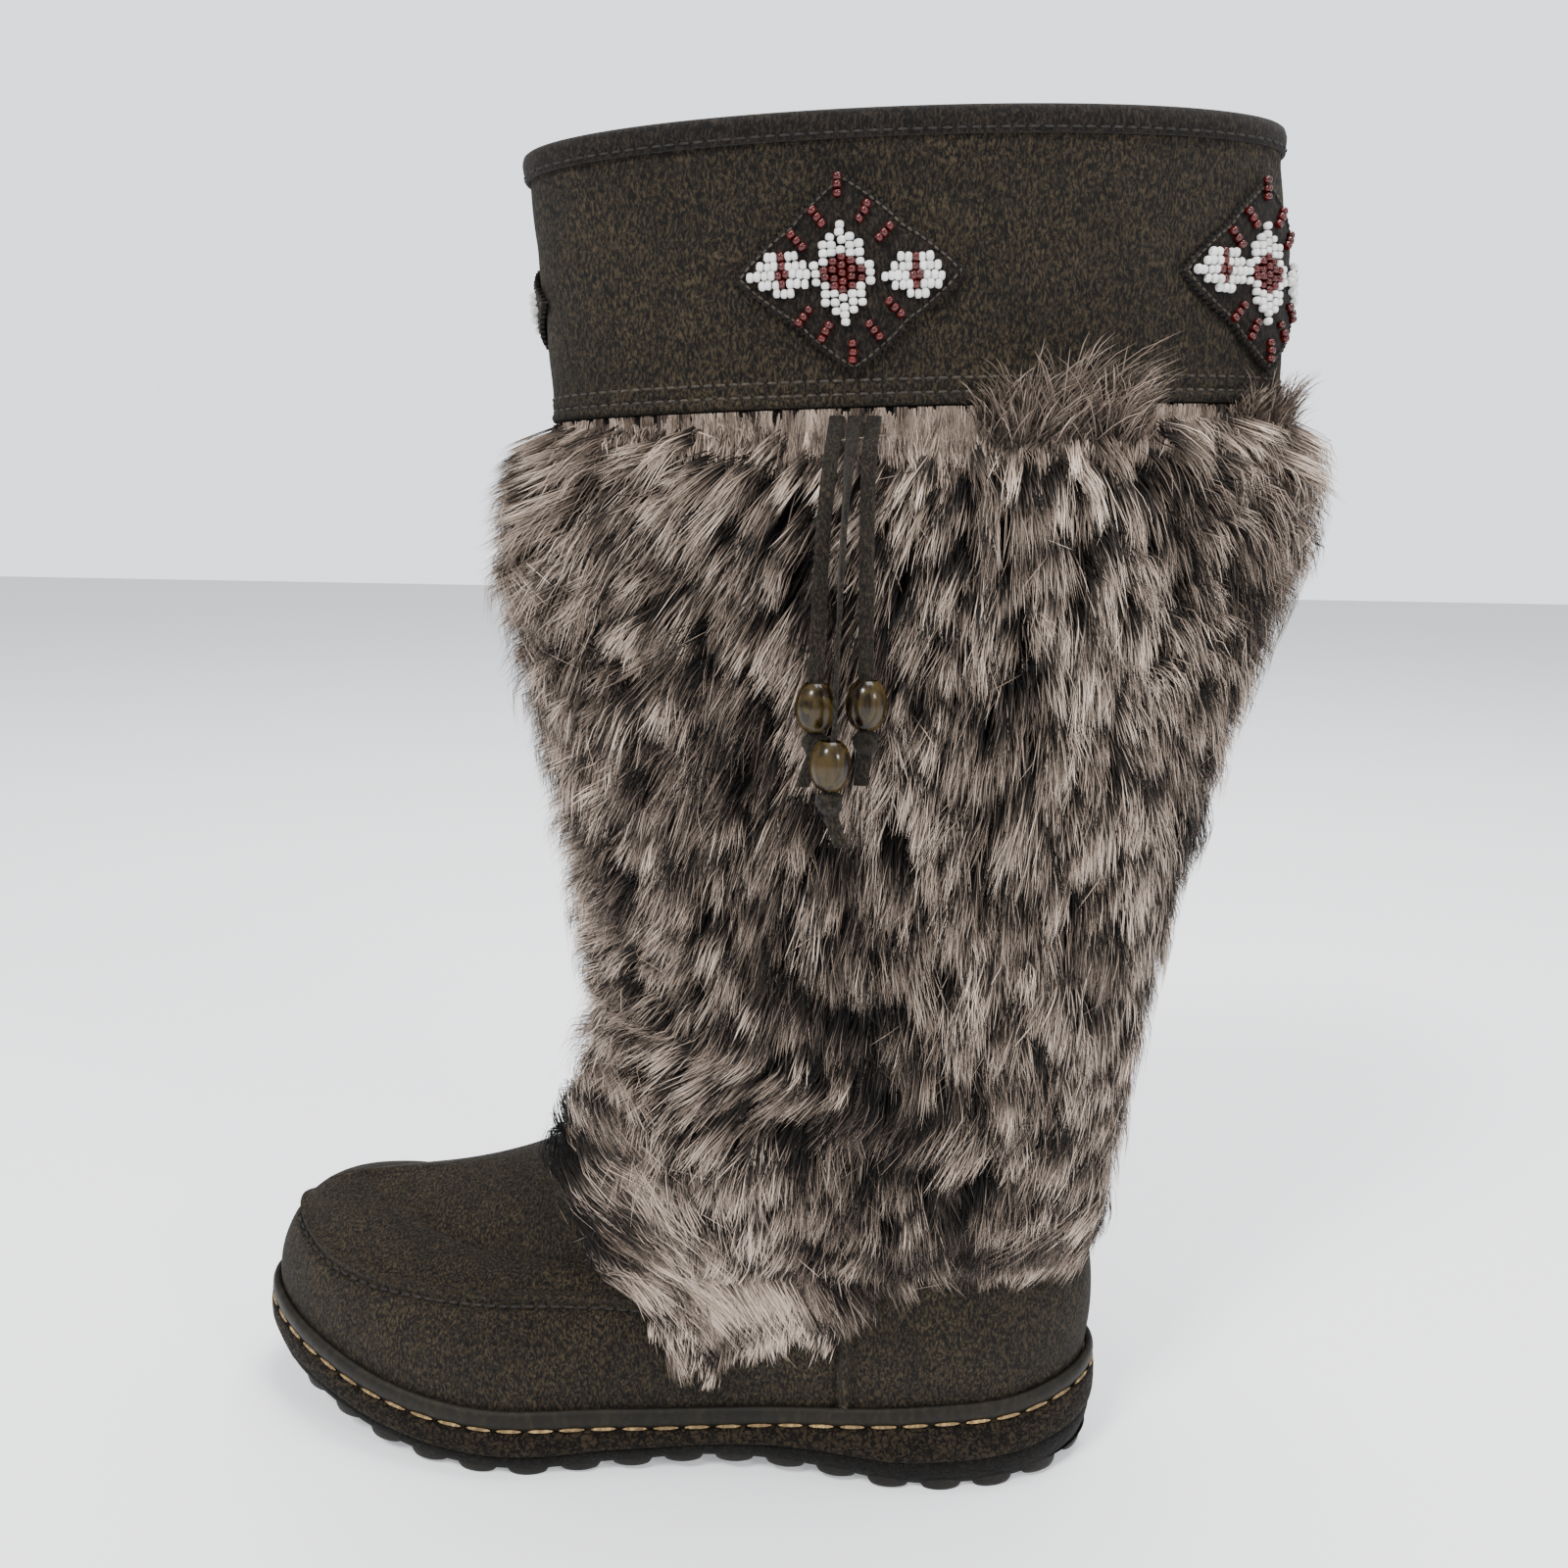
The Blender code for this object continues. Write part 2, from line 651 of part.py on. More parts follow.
def build_upper(finish):
    seam = angle_of(SEAM_SHARE)
    angles = ring_angles()
    inner_levels = [level for level in reversed(upper_levels()) if level not in (0.94, 0.22, 0.17)]

    def raised(angle, level):
        share = share_of(angle)
        apron = APRON_RIDGE * bump(level - 1.0, APRON_SPREAD) if share > 0.5 else 0.0
        piping = SIDE_SEAM_RIDGE * bump(math.acos(math.cos(angle)) - seam, SEAM_SPREAD * 0.8)
        near = (FRINGE_LINE(share - APRON_SPREAD), FRINGE_LINE(share + APRON_SPREAD))
        return apron + piping if WELT_COVER < level < min(near) - APRON_SPREAD else 0.0

    rings = [[on_body(a, level, raised(a, level)) for a in angles] for level in upper_levels()]
    rings += [[on_body(a, level, -UPPER_WALL) for a in angles] for level in inner_levels]
    add_object("upper", loft(rings, "tube"), finish)


def build_insole(finish):
    def at(out, up):
        inside = WELT_THICKNESS + GAP + UPPER_WALL + INSOLE_CLEARANCE
        return sole_ring(out - inside, lambda a: stitch_height(a) + up)

    rings = [at(0, GAP), at(0, INSOLE_THICKNESS / 2), at(-INSOLE_THICKNESS / 2, INSOLE_THICKNESS)]
    add_object("insole", loft(rings, "strips"), finish)


def lock_middle(angle, row):
    """1 down the middle of a lock, 0 between two locks; each row of locks is set half a lock on."""
    across = angle / (2 * math.pi) * LOCKS_AROUND + 0.5 * (row % 2)
    return 1 - abs(2 * (across % 1.0) - 1)


def pelt_depth(angle, down):
    """How far the hair stands out, with locks that end in steps like shingles."""
    front = max(0.0, -math.cos(angle)) ** 2
    back = max(0.0, math.cos(angle)) ** 2
    parts = (("front", front, PELT_FRONT), ("side", 1 - front - back, PELT_SIDE), ("back", back, PELT_BACK))
    full = sum(weight * depth * DEPTH_LINES[name](down) for name, weight, depth in parts)
    row = down * LOCK_ROWS
    lock = LOCK_DEPTH * ((row % 1.0) * mix(LOCK_BASE, 1.0, lock_middle(angle, int(row))) - 0.5)
    return PELT_HEM + full + lock * min(full / PELT_SIDE, 1.0)


def build_pelt(finish):
    rows = LOCK_ROWS * RINGS_PER_LOCK
    angles = ring_angles()
    top = collar_level(COLLAR_HEIGHT + GAP)

    def level(angle, down):
        tip = LOCK_TIP * (0.5 - lock_middle(angle, LOCK_ROWS))
        return mix(top, FRINGE_LINE(share_of(angle)) + tip, down)

    def ring(down, depth):
        return [on_body(a, level(a, down), depth(a, down)) for a in angles]

    outer = [ring(r / rows, pelt_depth) for r in range(rows + 1)]
    backing = [lv for lv in upper_levels() if LOWEST_FRINGE < lv < top] + [top]

    def backing_point(angle, index, lv):
        edge = level(angle, 1.0) + BACKING_STEP * (index + 1)
        return on_body(angle, max(lv, edge), PELT_GAP if lv > edge else FRINGE_GAP)

    inner = [ring(1.0, lambda a, d: FRINGE_GAP)]
    inner += [[backing_point(a, index, lv) for a in angles] for index, lv in enumerate(backing)]
    add_object("pelt", loft(outer + inner, "tube"), finish, 60)


def build_collar(finish):
    angles = ring_angles()
    levels = collar_levels(0.0)
    outer = [[on_body(a, level, GAP + COLLAR_THICKNESS) for a in angles] for level in levels]
    inner = [[on_body(a, level, GAP) for a in angles] for level in reversed(levels)]
    add_object("collar", loft(outer + inner, "tube"), finish)


def build_binding(finish):
    """A strip folded over the top edge of the upper and the collar."""
    angles = ring_angles()
    inside = -UPPER_WALL - GAP
    outside = GAP * 2 + COLLAR_THICKNESS
    section = [
        (outside, BINDING_DROP),
        (outside + BINDING_THICKNESS, BINDING_DROP),
        (outside + BINDING_THICKNESS, 0.0),
        (mix(outside, inside, 0.5), -BINDING_CREST),
        (inside - BINDING_THICKNESS, 0.0),
        (inside - BINDING_THICKNESS, BINDING_DROP),
        (inside, BINDING_DROP),
        (inside, -GAP),
        (outside, -GAP),
    ]
    rings = [[on_body(a, min(collar_level(b), 3.0), out) + Vector((0, 0, max(-b, 0.0))) for a in angles]
             for out, b in section]
    add_object("binding", loft(rings, "tube"), finish)


class CollarMap:
    """Places on the collar by arc length round it and height from its middle."""

    def __init__(self):
        self.level = collar_level(COLLAR_HEIGHT / 2 + PATCH_DROP)
        steps = 720
        self.angles = [2 * math.pi * i / steps for i in range(steps + 1)]
        places = [on_body(a, self.level, COLLAR_THICKNESS) for a in self.angles]
        self.travel = [0.0]
        for a, b in zip(places, places[1:]):
            self.travel.append(self.travel[-1] + (b - a).length)
        self.girth = self.travel[-1]

    def point(self, arc, up, out):
        arc = arc % self.girth
        k = 1
        while self.travel[k] < arc:
            k += 1
        share = (arc - self.travel[k - 1]) / (self.travel[k] - self.travel[k - 1])
        angle = mix(self.angles[k - 1], self.angles[k], share)
        return on_body(angle, self.level + up / (SHAFT_TOP - ANKLE_HEIGHT), out)


def build_patch(name, collar_map, centre, columns, finish):
    """A diamond of suede that follows the collar."""
    low = GAP + COLLAR_THICKNESS + PATCH_GAP
    across = [mix(-1, 1, c / columns) for c in range(columns + 1)]
    rings = []
    for r in range(PATCH_ROWS + 1):
        up = mix(-1, 1, r / PATCH_ROWS)
        half = max(PATCH_WIDTH / 2 * (1 - abs(up)), PATCH_CORNER)
        arcs = [centre + half * c for c in across]
        height = up * PATCH_HEIGHT / 2
        over = [collar_map.point(arc, height, low + PATCH_THICKNESS) for arc in arcs]
        under = [collar_map.point(arc, height, low) for arc in reversed(arcs)]
        rings.append(over + under)
    add_object(name, loft(rings), finish)


def build_medallion(name, collar_map, centre, size, points, finish):
    """A low raised field of beads: a lozenge or an oval."""
    low = GAP + COLLAR_THICKNESS + PATCH_GAP + PATCH_THICKNESS + PATCH_GAP
    rings = []
    for row in MEDALLION:
        ring = []
        for i in range(8):
            angle = 2 * math.pi * i / 8
            reach = row.reach * (1.0 if i % 2 == 0 else points)
            arc = centre + math.cos(angle) * size[0] / 2 * reach
            up = math.sin(angle) * size[1] / 2 * reach
            ring.append(collar_map.point(arc, up, low + BEADWORK_HEIGHT * row.height))
        rings.append(ring)
    add_object(name, loft(rings), finish)


def smooth_route(route):
    """Points along a smooth curve through a strip's route."""
    keys = [i / (len(route) - 1) for i in range(len(route))]
    lines = [curve_through(keys, [p[axis] for p in route]) for axis in range(3)]
    shares = [i / (ROUTE_POINTS - 1) for i in range(ROUTE_POINTS)]
    return [Vector([line(s) for line in lines]) for s in shares]


def build_strip(name, route, turn, finish):
    """A flat suede strip, turned on edge where turn is a right angle."""
    points = smooth_route(route)
    rings = []
    for i, point in enumerate(points):
        before = points[max(i - 1, 0)]
        after = points[min(i + 1, len(points) - 1)]
        along = (after - before).normalized()
        flat = Vector((1, 0, 0))
        flat = (flat - along * flat.dot(along)).normalized()
        thick = along.cross(flat)
        angle = turn * min(i / TWIST_POINTS, 1.0)
        wide = (flat * math.cos(angle) + thick * math.sin(angle)) * STRIP_WIDTH / 2
        deep = (thick * math.cos(angle) - flat * math.sin(angle)) * STRIP_THICKNESS / 2
        rings.append([point + wide + deep, point + wide - deep, point - wide - deep, point - wide + deep])
    add_object(name, loft(rings), finish)
    return points[-1]


def build_bead(name, end, finish):
    """An oval bead with a bore, standing on its knot."""
    bore = BEAD_BORE / 2
    angles = [2 * math.pi * i / 12 for i in range(12)]
    rings = []
    for row in BEAD:
        radius = mix(bore, BEAD_DIAMETER / 2, row.swell)
        height = BEAD_LENGTH * (1 - math.cos(math.pi * row.up)) / 2 - GAP
        rings.append([end + Vector((radius * math.cos(a), radius * math.sin(a), height)) for a in angles])
    add_object(name, loft(rings, "tube"), finish)


def build_knot(name, end, lean, finish):
    """An overhand knot with a short flat tail."""
    angles = [math.pi * (i + 0.5) / 4 for i in range(8)]
    rings = []
    for row in KNOT:
        wide = row.wide * KNOT_WIDTH / 2
        deep = row.deep * KNOT_WIDTH / 2
        middle = end + Vector((row.sway * lean, 0, -GAP - row.down * KNOT_HEIGHT))
        rings.append([middle + Vector((wide * math.cos(a), deep * math.sin(a), 0)) for a in angles])
    add_object(name, loft(rings), finish)


for old in list(bpy.data.objects):
    bpy.data.objects.remove(old, do_unlink=True)

suede = material("olive brown suede", (0.060, 0.047, 0.034), 0.95)
dark_suede = material("dark brown suede", (0.050, 0.034, 0.026), 0.95)
crepe = material("brown crepe", (0.085, 0.064, 0.048), 0.75)
grip = material("grey brown grip rubber", (0.045, 0.040, 0.036), 0.60)
strip_finish = material("olive welt strip", (0.075, 0.060, 0.042), 0.55)
fleece = material("taupe fleece", (0.300, 0.250, 0.210), 0.95)
hair = material("grey brown hair", (0.200, 0.160, 0.140), 0.70)
bead_glass = material("white and red beads", (0.750, 0.700, 0.680), 0.25)
horn = material("olive horn", (0.120, 0.075, 0.025), 0.15)

build_outsole(grip)
build_midsole(crepe)
build_welt(strip_finish)
build_upper(suede)
build_insole(fleece)
build_pelt(hair)
build_collar(suede)
build_binding(dark_suede)

collar_map = CollarMap()
for quarter, side in enumerate(("back", "lateral", "front", "medial")):
    centre = collar_map.girth * quarter / 4 + PATCH_SHIFT
    columns = FLAT_PATCH_COLUMNS if side in ("lateral", "medial") else ROUND_PATCH_COLUMNS
    build_patch("patch_" + side, collar_map, centre, columns, dark_suede)
    lozenge = (LOZENGE_WIDTH, LOZENGE_HEIGHT)
    oval = (OVAL_WIDTH, OVAL_HEIGHT)
    build_medallion("beads_" + side + "_lozenge", collar_map, centre, lozenge, 0.85, bead_glass)
    build_medallion("beads_" + side + "_oval_rear", collar_map, centre - OVAL_OFFSET, oval, 1.0, bead_glass)
    build_medallion("beads_" + side + "_oval_fore", collar_map, centre + OVAL_OFFSET, oval, 1.0, bead_glass)

strips = (
    ("rear", ROUTE_REAR, 0.0, -0.001),
    ("fore", ROUTE_FORE, 0.0, -0.003),
    ("long", ROUTE_LONG, LONG_STRIP_TURN, 0.003),
)
for label, route, turn, lean in strips:
    end = build_strip("strip_" + label, route, turn, dark_suede)
    build_bead("horn_bead_" + label, end, horn)
    build_knot("knot_" + label, end, lean, dark_suede)
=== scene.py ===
import math

import bmesh
import bpy
import numpy as np
from mathutils import Matrix, Vector


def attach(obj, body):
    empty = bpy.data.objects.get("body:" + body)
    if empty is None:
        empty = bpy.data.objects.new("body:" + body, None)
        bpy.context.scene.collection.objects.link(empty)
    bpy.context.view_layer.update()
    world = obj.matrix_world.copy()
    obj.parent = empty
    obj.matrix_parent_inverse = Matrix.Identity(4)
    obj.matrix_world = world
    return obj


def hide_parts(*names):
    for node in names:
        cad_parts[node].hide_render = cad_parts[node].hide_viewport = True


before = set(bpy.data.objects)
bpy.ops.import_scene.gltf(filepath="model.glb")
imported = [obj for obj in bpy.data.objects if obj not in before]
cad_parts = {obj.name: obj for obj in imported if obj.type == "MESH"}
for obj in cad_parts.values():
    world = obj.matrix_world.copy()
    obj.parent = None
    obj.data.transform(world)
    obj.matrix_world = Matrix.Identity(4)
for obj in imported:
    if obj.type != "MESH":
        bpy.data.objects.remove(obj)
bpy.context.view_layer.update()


# Outsole
# A moulded unit of grip rubber, cemented under the midsole, with rounded lugs along its edge and
# low flat pads under the heel and the ball of the foot. Grey brown rubber with a fine pebble.
SOLE_LENGTH = 0.285
HEEL_BACK = 0.045
BALL_WIDTH = 0.103
HEEL_STACK = 0.0243
FOREFOOT_STACK = 0.0168
TOE_SPRING = 0.0155
HEEL_WEDGE = 0.0130
FOREFOOT_WEDGE = 0.0088
TREAD_DEPTH = 0.0040
ARCH_LIFT = 0.0040
OUTSOLE_TUCK = 0.0045
LUG_PITCH = 0.0167
LUG_OVAL = (0.0136, 0.0052, 0.0088)
LUG_BAR = (0.0125, 0.0130, 0.0064)
LUG_INSET = 0.0047
BAR_INSET = 0.0098
LUG_RISE = 0.0026
SKIRT = 0.0031
HEEL_PAD = (0.036, 0.028)
BALL_PAD = (0.026, 0.018)
BALL_PAD_APART = (0.031, 0.0135)
BALL_SHARE = 0.66
PAD_ROOT = 0.002
PAD_BEVEL = 0.0008
GAP = 0.0003
STEP = 0.0005
ROUND = 2 * math.pi
AROUND = np.linspace(0, ROUND, 257)


def curve_through(keys, values):
    """A smooth curve through a table's rows that never overshoots a row."""
    keys, values = np.array(keys, float), np.array(values, float)
    spans = np.diff(keys)
    slopes = np.diff(values) / spans
    product = slopes[:-1] * slopes[1:]
    total = np.where(product > 0, slopes[:-1] + slopes[1:], 1.0)
    inner = np.where(product > 0, 2 * product / total, 0.0)
    tangents = np.concatenate([slopes[:1], inner, slopes[-1:]])

    def value(key):
        key = np.clip(key, keys[0], keys[-1])
        i = np.clip(np.searchsorted(keys, key) - 1, 0, len(spans) - 1)
        t = (key - keys[i]) / spans[i]
        start = values[i] * (1 + 2 * t) * (1 - t) ** 2
        end = values[i + 1] * t * t * (3 - 2 * t)
        bend = tangents[i] * t * (1 - t) ** 2 - tangents[i + 1] * t * t * (1 - t)
        return start + end + bend * spans[i]

    return value


def mix(a, b, share):
    return a + (b - a) * share


def angle_of(share):
    """The angle round the foot, from the heel, at which the outline is a share of the way along."""
    return np.arccos(1 - 2 * np.array(share, float))


def share_of(angle):
    return (1 - np.cos(angle)) / 2


def unit(vectors):
    return vectors / np.linalg.norm(vectors, axis=-1, keepdims=True)


def way_along(places):
    """How far along a line each of its places is."""
    return np.concatenate([[0], np.cumsum(np.linalg.norm(np.diff(places, axis=0), axis=1))])


outline_angles = angle_of([0.02, 0.08, 0.20, 0.38, 0.52, 0.68, 0.80, 0.90, 0.97])
lateral_half = np.array([0.152, 0.280, 0.370, 0.372, 0.428, 0.500, 0.448, 0.330, 0.176])
medial_half = np.array([0.152, 0.280, 0.366, 0.355, 0.388, 0.492, 0.508, 0.424, 0.252])
lateral_ratio = curve_through(outline_angles, lateral_half / np.sin(outline_angles))
medial_ratio = curve_through(outline_angles, medial_half / np.sin(outline_angles))

height_shares = [0, 0.04, 0.10, 0.18, 0.31, 0.42, 0.53, 0.62, 0.70, 0.80, 0.90, 1]
heel_line = curve_through(height_shares, [1.90, 1.55, 1.16, 1, 0.50, 0.10, 0, 0, 0, 0, 0, 0])
spring_line = curve_through(height_shares, [0, 0, 0, 0, 0, 0, 0, 0, 0.03, 0.24, 0.62, 1])
wedge_line = curve_through(height_shares, [1, 1, 1, 1, -0.15, -0.70, -0.40, 0, 0, 0, 0, 0])
arch_line = curve_through(height_shares, [0.90, 0.45, 0.06, 0, 0.75, 1, 0.45, 0, 0, 0, 0, 0])


def edge_point(angle):
    """Plan point of the sole's edge; the angle starts at the heel and passes the lateral side."""
    folded = np.arccos(np.cos(angle))
    lateral = np.sin(angle) >= 0
    ratio = np.where(lateral, lateral_ratio(folded), medial_ratio(folded))
    half = BALL_WIDTH * ratio * np.sin(folded)
    return np.stack([HEEL_BACK - SOLE_LENGTH * share_of(angle), np.where(lateral, -half, half)], -1)


def outline(angle, out=0.0):
    """Plan point of the sole's edge, moved outwards."""
    along = unit(edge_point(angle + STEP) - edge_point(angle - STEP))
    outward = np.stack([-along[..., 1], along[..., 0]], -1)
    return edge_point(angle) + outward * np.array(out, float)[..., None]


def stitch_height(angle):
    """Height of the seam between the welt and the midsole."""
    share = share_of(angle)
    heel = (HEEL_STACK - FOREFOOT_STACK) * heel_line(share)
    return FOREFOOT_STACK + heel + TOE_SPRING * spring_line(share)


def parting_height(angle):
    """Height of the joint between the midsole and the outsole."""
    return stitch_height(angle) - mix(FOREFOOT_WEDGE, HEEL_WEDGE, wedge_line(share_of(angle)))


def tread_height(angle):
    """Height of the outsole's underside between its lugs."""
    share = share_of(angle)
    return TREAD_DEPTH + ARCH_LIFT * arch_line(share) + TOE_SPRING * spring_line(share)


def sole_ring(out, height):
    return np.column_stack([outline(AROUND, out), height])


def to_middle(height):
    """Rows from the middle line of the sole out to near its edge."""
    rows = []
    for reach in (0.0, 0.35, 0.7, 0.9):
        plan = edge_point(AROUND) * np.array([1, reach])
        shortened = mix(0.92, 1.0, reach)
        plan[:, 0] = mix(HEEL_BACK - SOLE_LENGTH / 2, plan[:, 0], shortened)
        rows.append(np.column_stack([plan, height]))
    return rows


def lofted(rows):
    """A mesh through rows of places: a grid moved to them, the edges that meet merged."""
    rows = np.array(rows)
    high, wide = rows.shape[0] - 1, rows.shape[1] - 1
    mesh = bmesh.new()
    bmesh.ops.create_grid(mesh, x_segments=wide, y_segments=high, size=0.5)
    for vert, place in zip(mesh.verts, rows.reshape(-1, 3)):
        vert.co = place
    bmesh.ops.remove_doubles(mesh, verts=mesh.verts, dist=1e-6)
    bmesh.ops.recalc_face_normals(mesh, faces=mesh.faces)
    return mesh


def add_data(name, data, finishes, nodes=(), sharp_from=50):
    """Makes mesh data a piece of the boot, in place of the CAD nodes that it stands for."""
    for finish in finishes:
        data.materials.append(finish)
    data.shade_smooth()
    if sharp_from:
        data.set_sharp_from_angle(angle=math.radians(sharp_from))
    piece = bpy.data.objects.new(name, data)
    bpy.context.scene.collection.objects.link(piece)
    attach(piece, "root")
    if nodes:
        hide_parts(*nodes)
    return piece


def add_piece(name, mesh, finishes, nodes=(), sharp_from=50):
    data = bpy.data.meshes.new(name)
    mesh.to_mesh(data)
    mesh.free()
    return add_data(name, data, finishes, nodes, sharp_from)


def add_node(tree, kind, inputs=None, **settings):
    """A node with its settings; an input is a value or the socket that feeds it."""
    node = tree.nodes.new(kind)
    for key, value in settings.items():
        setattr(node, key, value)
    for key, value in (inputs or {}).items():
        if isinstance(value, bpy.types.NodeSocket):
            tree.links.new(value, node.inputs[key])
        else:
            node.inputs[key].default_value = value
    return node


def new_group(name, inputs, outputs):
    """A shader node group: sockets by name, with a number, a colour or None (a vector) as value."""
    group = bpy.data.node_groups.new(name, "ShaderNodeTree")
    for label, value in inputs.items():
        kind = "Float" if isinstance(value, float) else "Color" if value else "Vector"
        socket = group.interface.new_socket(label, in_out="INPUT", socket_type="NodeSocket" + kind)
        if value is not None:
            socket.default_value = value if kind == "Float" else (*value, 1)
    for label, kind in outputs.items():
        group.interface.new_socket(label, in_out="OUTPUT", socket_type="NodeSocket" + kind)
    start = group.nodes.new("NodeGroupInput").outputs
    end = group.nodes.new("NodeGroupOutput").inputs
    return group, start, end


def maths(tree, operation, a, b=0.0, c=0.0):
    return add_node(tree, "ShaderNodeMath", {0: a, 1: b, 2: c}, operation=operation).outputs[0]


def blended(tree, factor, a, b, blend_type="MIX"):
    node = add_node(tree, "ShaderNodeMix", data_type="RGBA", blend_type=blend_type)
    for index, value in ((0, factor), (6, a), (7, b)):
        if isinstance(value, bpy.types.NodeSocket):
            tree.links.new(value, node.inputs[index])
        else:
            node.inputs[index].default_value = value
    return node.outputs[2]


def ramp(tree, value, low, high):
    node = add_node(tree, "ShaderNodeMapRange", {0: value, 1: low, 2: high},
                    interpolation_type="SMOOTHSTEP")
    return node.outputs[0]


# The pebble of moulded rubber: worm-like bumps, painted shade in the furrows, broad uneven patches
pebble, given, gives = new_group(
    "pebble", {"Vector": None, "Size": 0.001, "Shaded furrow": (0.01, 0.01, 0.01),
               "Crown": (0.05, 0.05, 0.05)}, {"Color": "Color", "Height": "Float"})
per_metre = maths(pebble, "DIVIDE", 1.0, given["Size"])
cells = add_node(pebble, "ShaderNodeTexVoronoi",
                 {"Vector": given["Vector"], "Scale": per_metre, "Smoothness": 0.6},
                 feature="SMOOTH_F1")
fine = add_node(pebble, "ShaderNodeTexNoise",
                {"Vector": given["Vector"], "Detail": 1.0, "Distortion": 0.4,
                 "Scale": maths(pebble, "MULTIPLY", per_metre, 1.1)})
broad = add_node(pebble, "ShaderNodeTexNoise",
                 {"Vector": given["Vector"], "Scale": 55.0, "Detail": 4.0})
worms = maths(pebble, "ABSOLUTE", maths(pebble, "SUBTRACT", fine.outputs[0], 0.5))
worms = ramp(pebble, worms, 0.012, 0.085)
height = maths(pebble, "MULTIPLY", worms, maths(pebble, "SUBTRACT", 1.15, cells.outputs[0]))
# The colour follows the height: painted shade darkens the low furrows, the crowns stay lighter
crown = ramp(pebble, height, 0.12, 0.85)
toned = blended(pebble, crown, given["Shaded furrow"], given["Crown"])
patchy = maths(pebble, "MULTIPLY_ADD", broad.outputs[0], 1.1, 0.45)
pebble.links.new(blended(pebble, 1.0, toned, patchy, "MULTIPLY"), gives["Color"])
pebble.links.new(height, gives["Height"])


def new_finish(name, effect, values, bump, relief, **fixed):
    """A material: an effect group on object coordinates feeds the colour and the bump, and the
    fixed values go to the shader's own sockets."""
    made = bpy.data.materials.new(name)
    made.use_nodes = True
    tree = made.node_tree
    shader = tree.nodes["Principled BSDF"]
    for label, value in fixed.items():
        shader.inputs[label.replace("_", " ")].default_value = value
    where = add_node(tree, "ShaderNodeTexCoord").outputs["Object"]
    group = add_node(tree, "ShaderNodeGroup", node_tree=effect)
    tree.links.new(where, group.inputs["Vector"])
    for label, value in values.items():
        group.inputs[label].default_value = value if isinstance(value, float) else (*value, 1)
    tree.links.new(group.outputs["Color"], shader.inputs["Base Color"])
    raised = add_node(tree, "ShaderNodeBump", {"Strength": bump, "Distance": relief,
                                               "Height": group.outputs["Height"]})
    tree.links.new(raised.outputs[0], shader.inputs["Normal"])
    return made


# The furrow colours below are painted shade, darker than the crowns
grip = new_finish("grey brown grip rubber", pebble,
                  {"Size": 0.0015, "Shaded furrow": (0.0016, 0.0013, 0.0010),
                   "Crown": (0.0075, 0.0064, 0.0050)},
                  0.8, 0.0004, Roughness=0.8, Specular_IOR_Level=0.12)
smooth_grip = new_finish("smooth grip rubber", pebble,
                         {"Size": 0.0035, "Shaded furrow": (0.0065, 0.0055, 0.0040),
                          "Crown": (0.0110, 0.0092, 0.0068)},
                         0.1, 0.0002, Roughness=0.65, Specular_IOR_Level=0.2)

# The edge in section: outwards in tucks, and upwards as a share of the way to the midsole
tread, parting = tread_height(AROUND), parting_height(AROUND) - GAP / 2
outsole_edge = ((-2.2, 0.02), (-1.6, 0.0), (-1.12, 0.0), (-0.95, 0.05), (-0.49, 0.30),
                (-0.2, 0.55), (-0.09, 0.75), (-0.05, 0.9), (-0.13, 1.0))
rows = to_middle(tread) + [sole_ring(-3.0 * OUTSOLE_TUCK, tread)]
rows += [sole_ring(OUTSOLE_TUCK * out, mix(tread - SKIRT, parting, up)) for out, up in outsole_edge]
rows += reversed(to_middle(parting))
mesh = lofted(rows)

# An oval lug on the edge and a bar behind it, each flattened underneath
turns = np.linspace(0, ROUND, 4001)
travel = way_along(outline(turns, -LUG_INSET))
lug_count = round(travel[-1] / LUG_PITCH)
pebbled_faces = len(mesh.faces)
for angle in np.interp((np.arange(lug_count) + 0.5) / lug_count * travel[-1], travel, turns):
    ahead = edge_point(angle + STEP) - edge_point(angle - STEP)
    heading = Matrix.Rotation(math.atan2(ahead[1], ahead[0]), 4, "Z")
    ground = tread_height(angle) - TREAD_DEPTH
    for inset, size in ((LUG_INSET, LUG_OVAL), (BAR_INSET, LUG_BAR)):
        place = Matrix.Translation((*outline(angle, -inset), ground + LUG_RISE))
        lug = bmesh.ops.create_uvsphere(mesh, u_segments=20, v_segments=12, radius=0.5,
                                        matrix=place @ heading @ Matrix.Diagonal((*size, 1)))
        for vert in lug["verts"]:
            vert.co.z = max(vert.co.z, ground)

ball_x = HEEL_BACK - SOLE_LENGTH * BALL_SHARE
pads = [(0.0, 0.0, *HEEL_PAD)]
pads += [(ball_x + row * BALL_PAD_APART[0], side * BALL_PAD_APART[1], *BALL_PAD)
         for row in (-1, 0, 1) for side in (-1, 1)]
for x, y, length, width in pads:
    place = Matrix.Translation((x, y, 0)) @ Matrix.Diagonal((length, width, 1, 1))
    pad = bmesh.ops.create_circle(mesh, cap_ends=True, segments=32, radius=0.5, matrix=place)
    face = next(f for f in pad["verts"][0].link_faces if len(f.verts) == 32)
    top = bmesh.ops.extrude_face_region(mesh, geom=[face])["geom"]
    bmesh.ops.translate(mesh, vec=(0, 0, TREAD_DEPTH + PAD_ROOT),
                        verts=[v for v in top if isinstance(v, bmesh.types.BMVert)])
    bmesh.ops.bevel(mesh, geom=list(face.edges), offset=PAD_BEVEL, segments=3, profile=0.5,
                    affect="EDGES", material=-1)
bmesh.ops.recalc_face_normals(mesh, faces=mesh.faces)
mesh.faces.ensure_lookup_table()
for face in mesh.faces[pebbled_faces:]:
    face.material_index = 1
add_piece("outsole_unit", mesh, [grip, smooth_grip], ["outsole"])


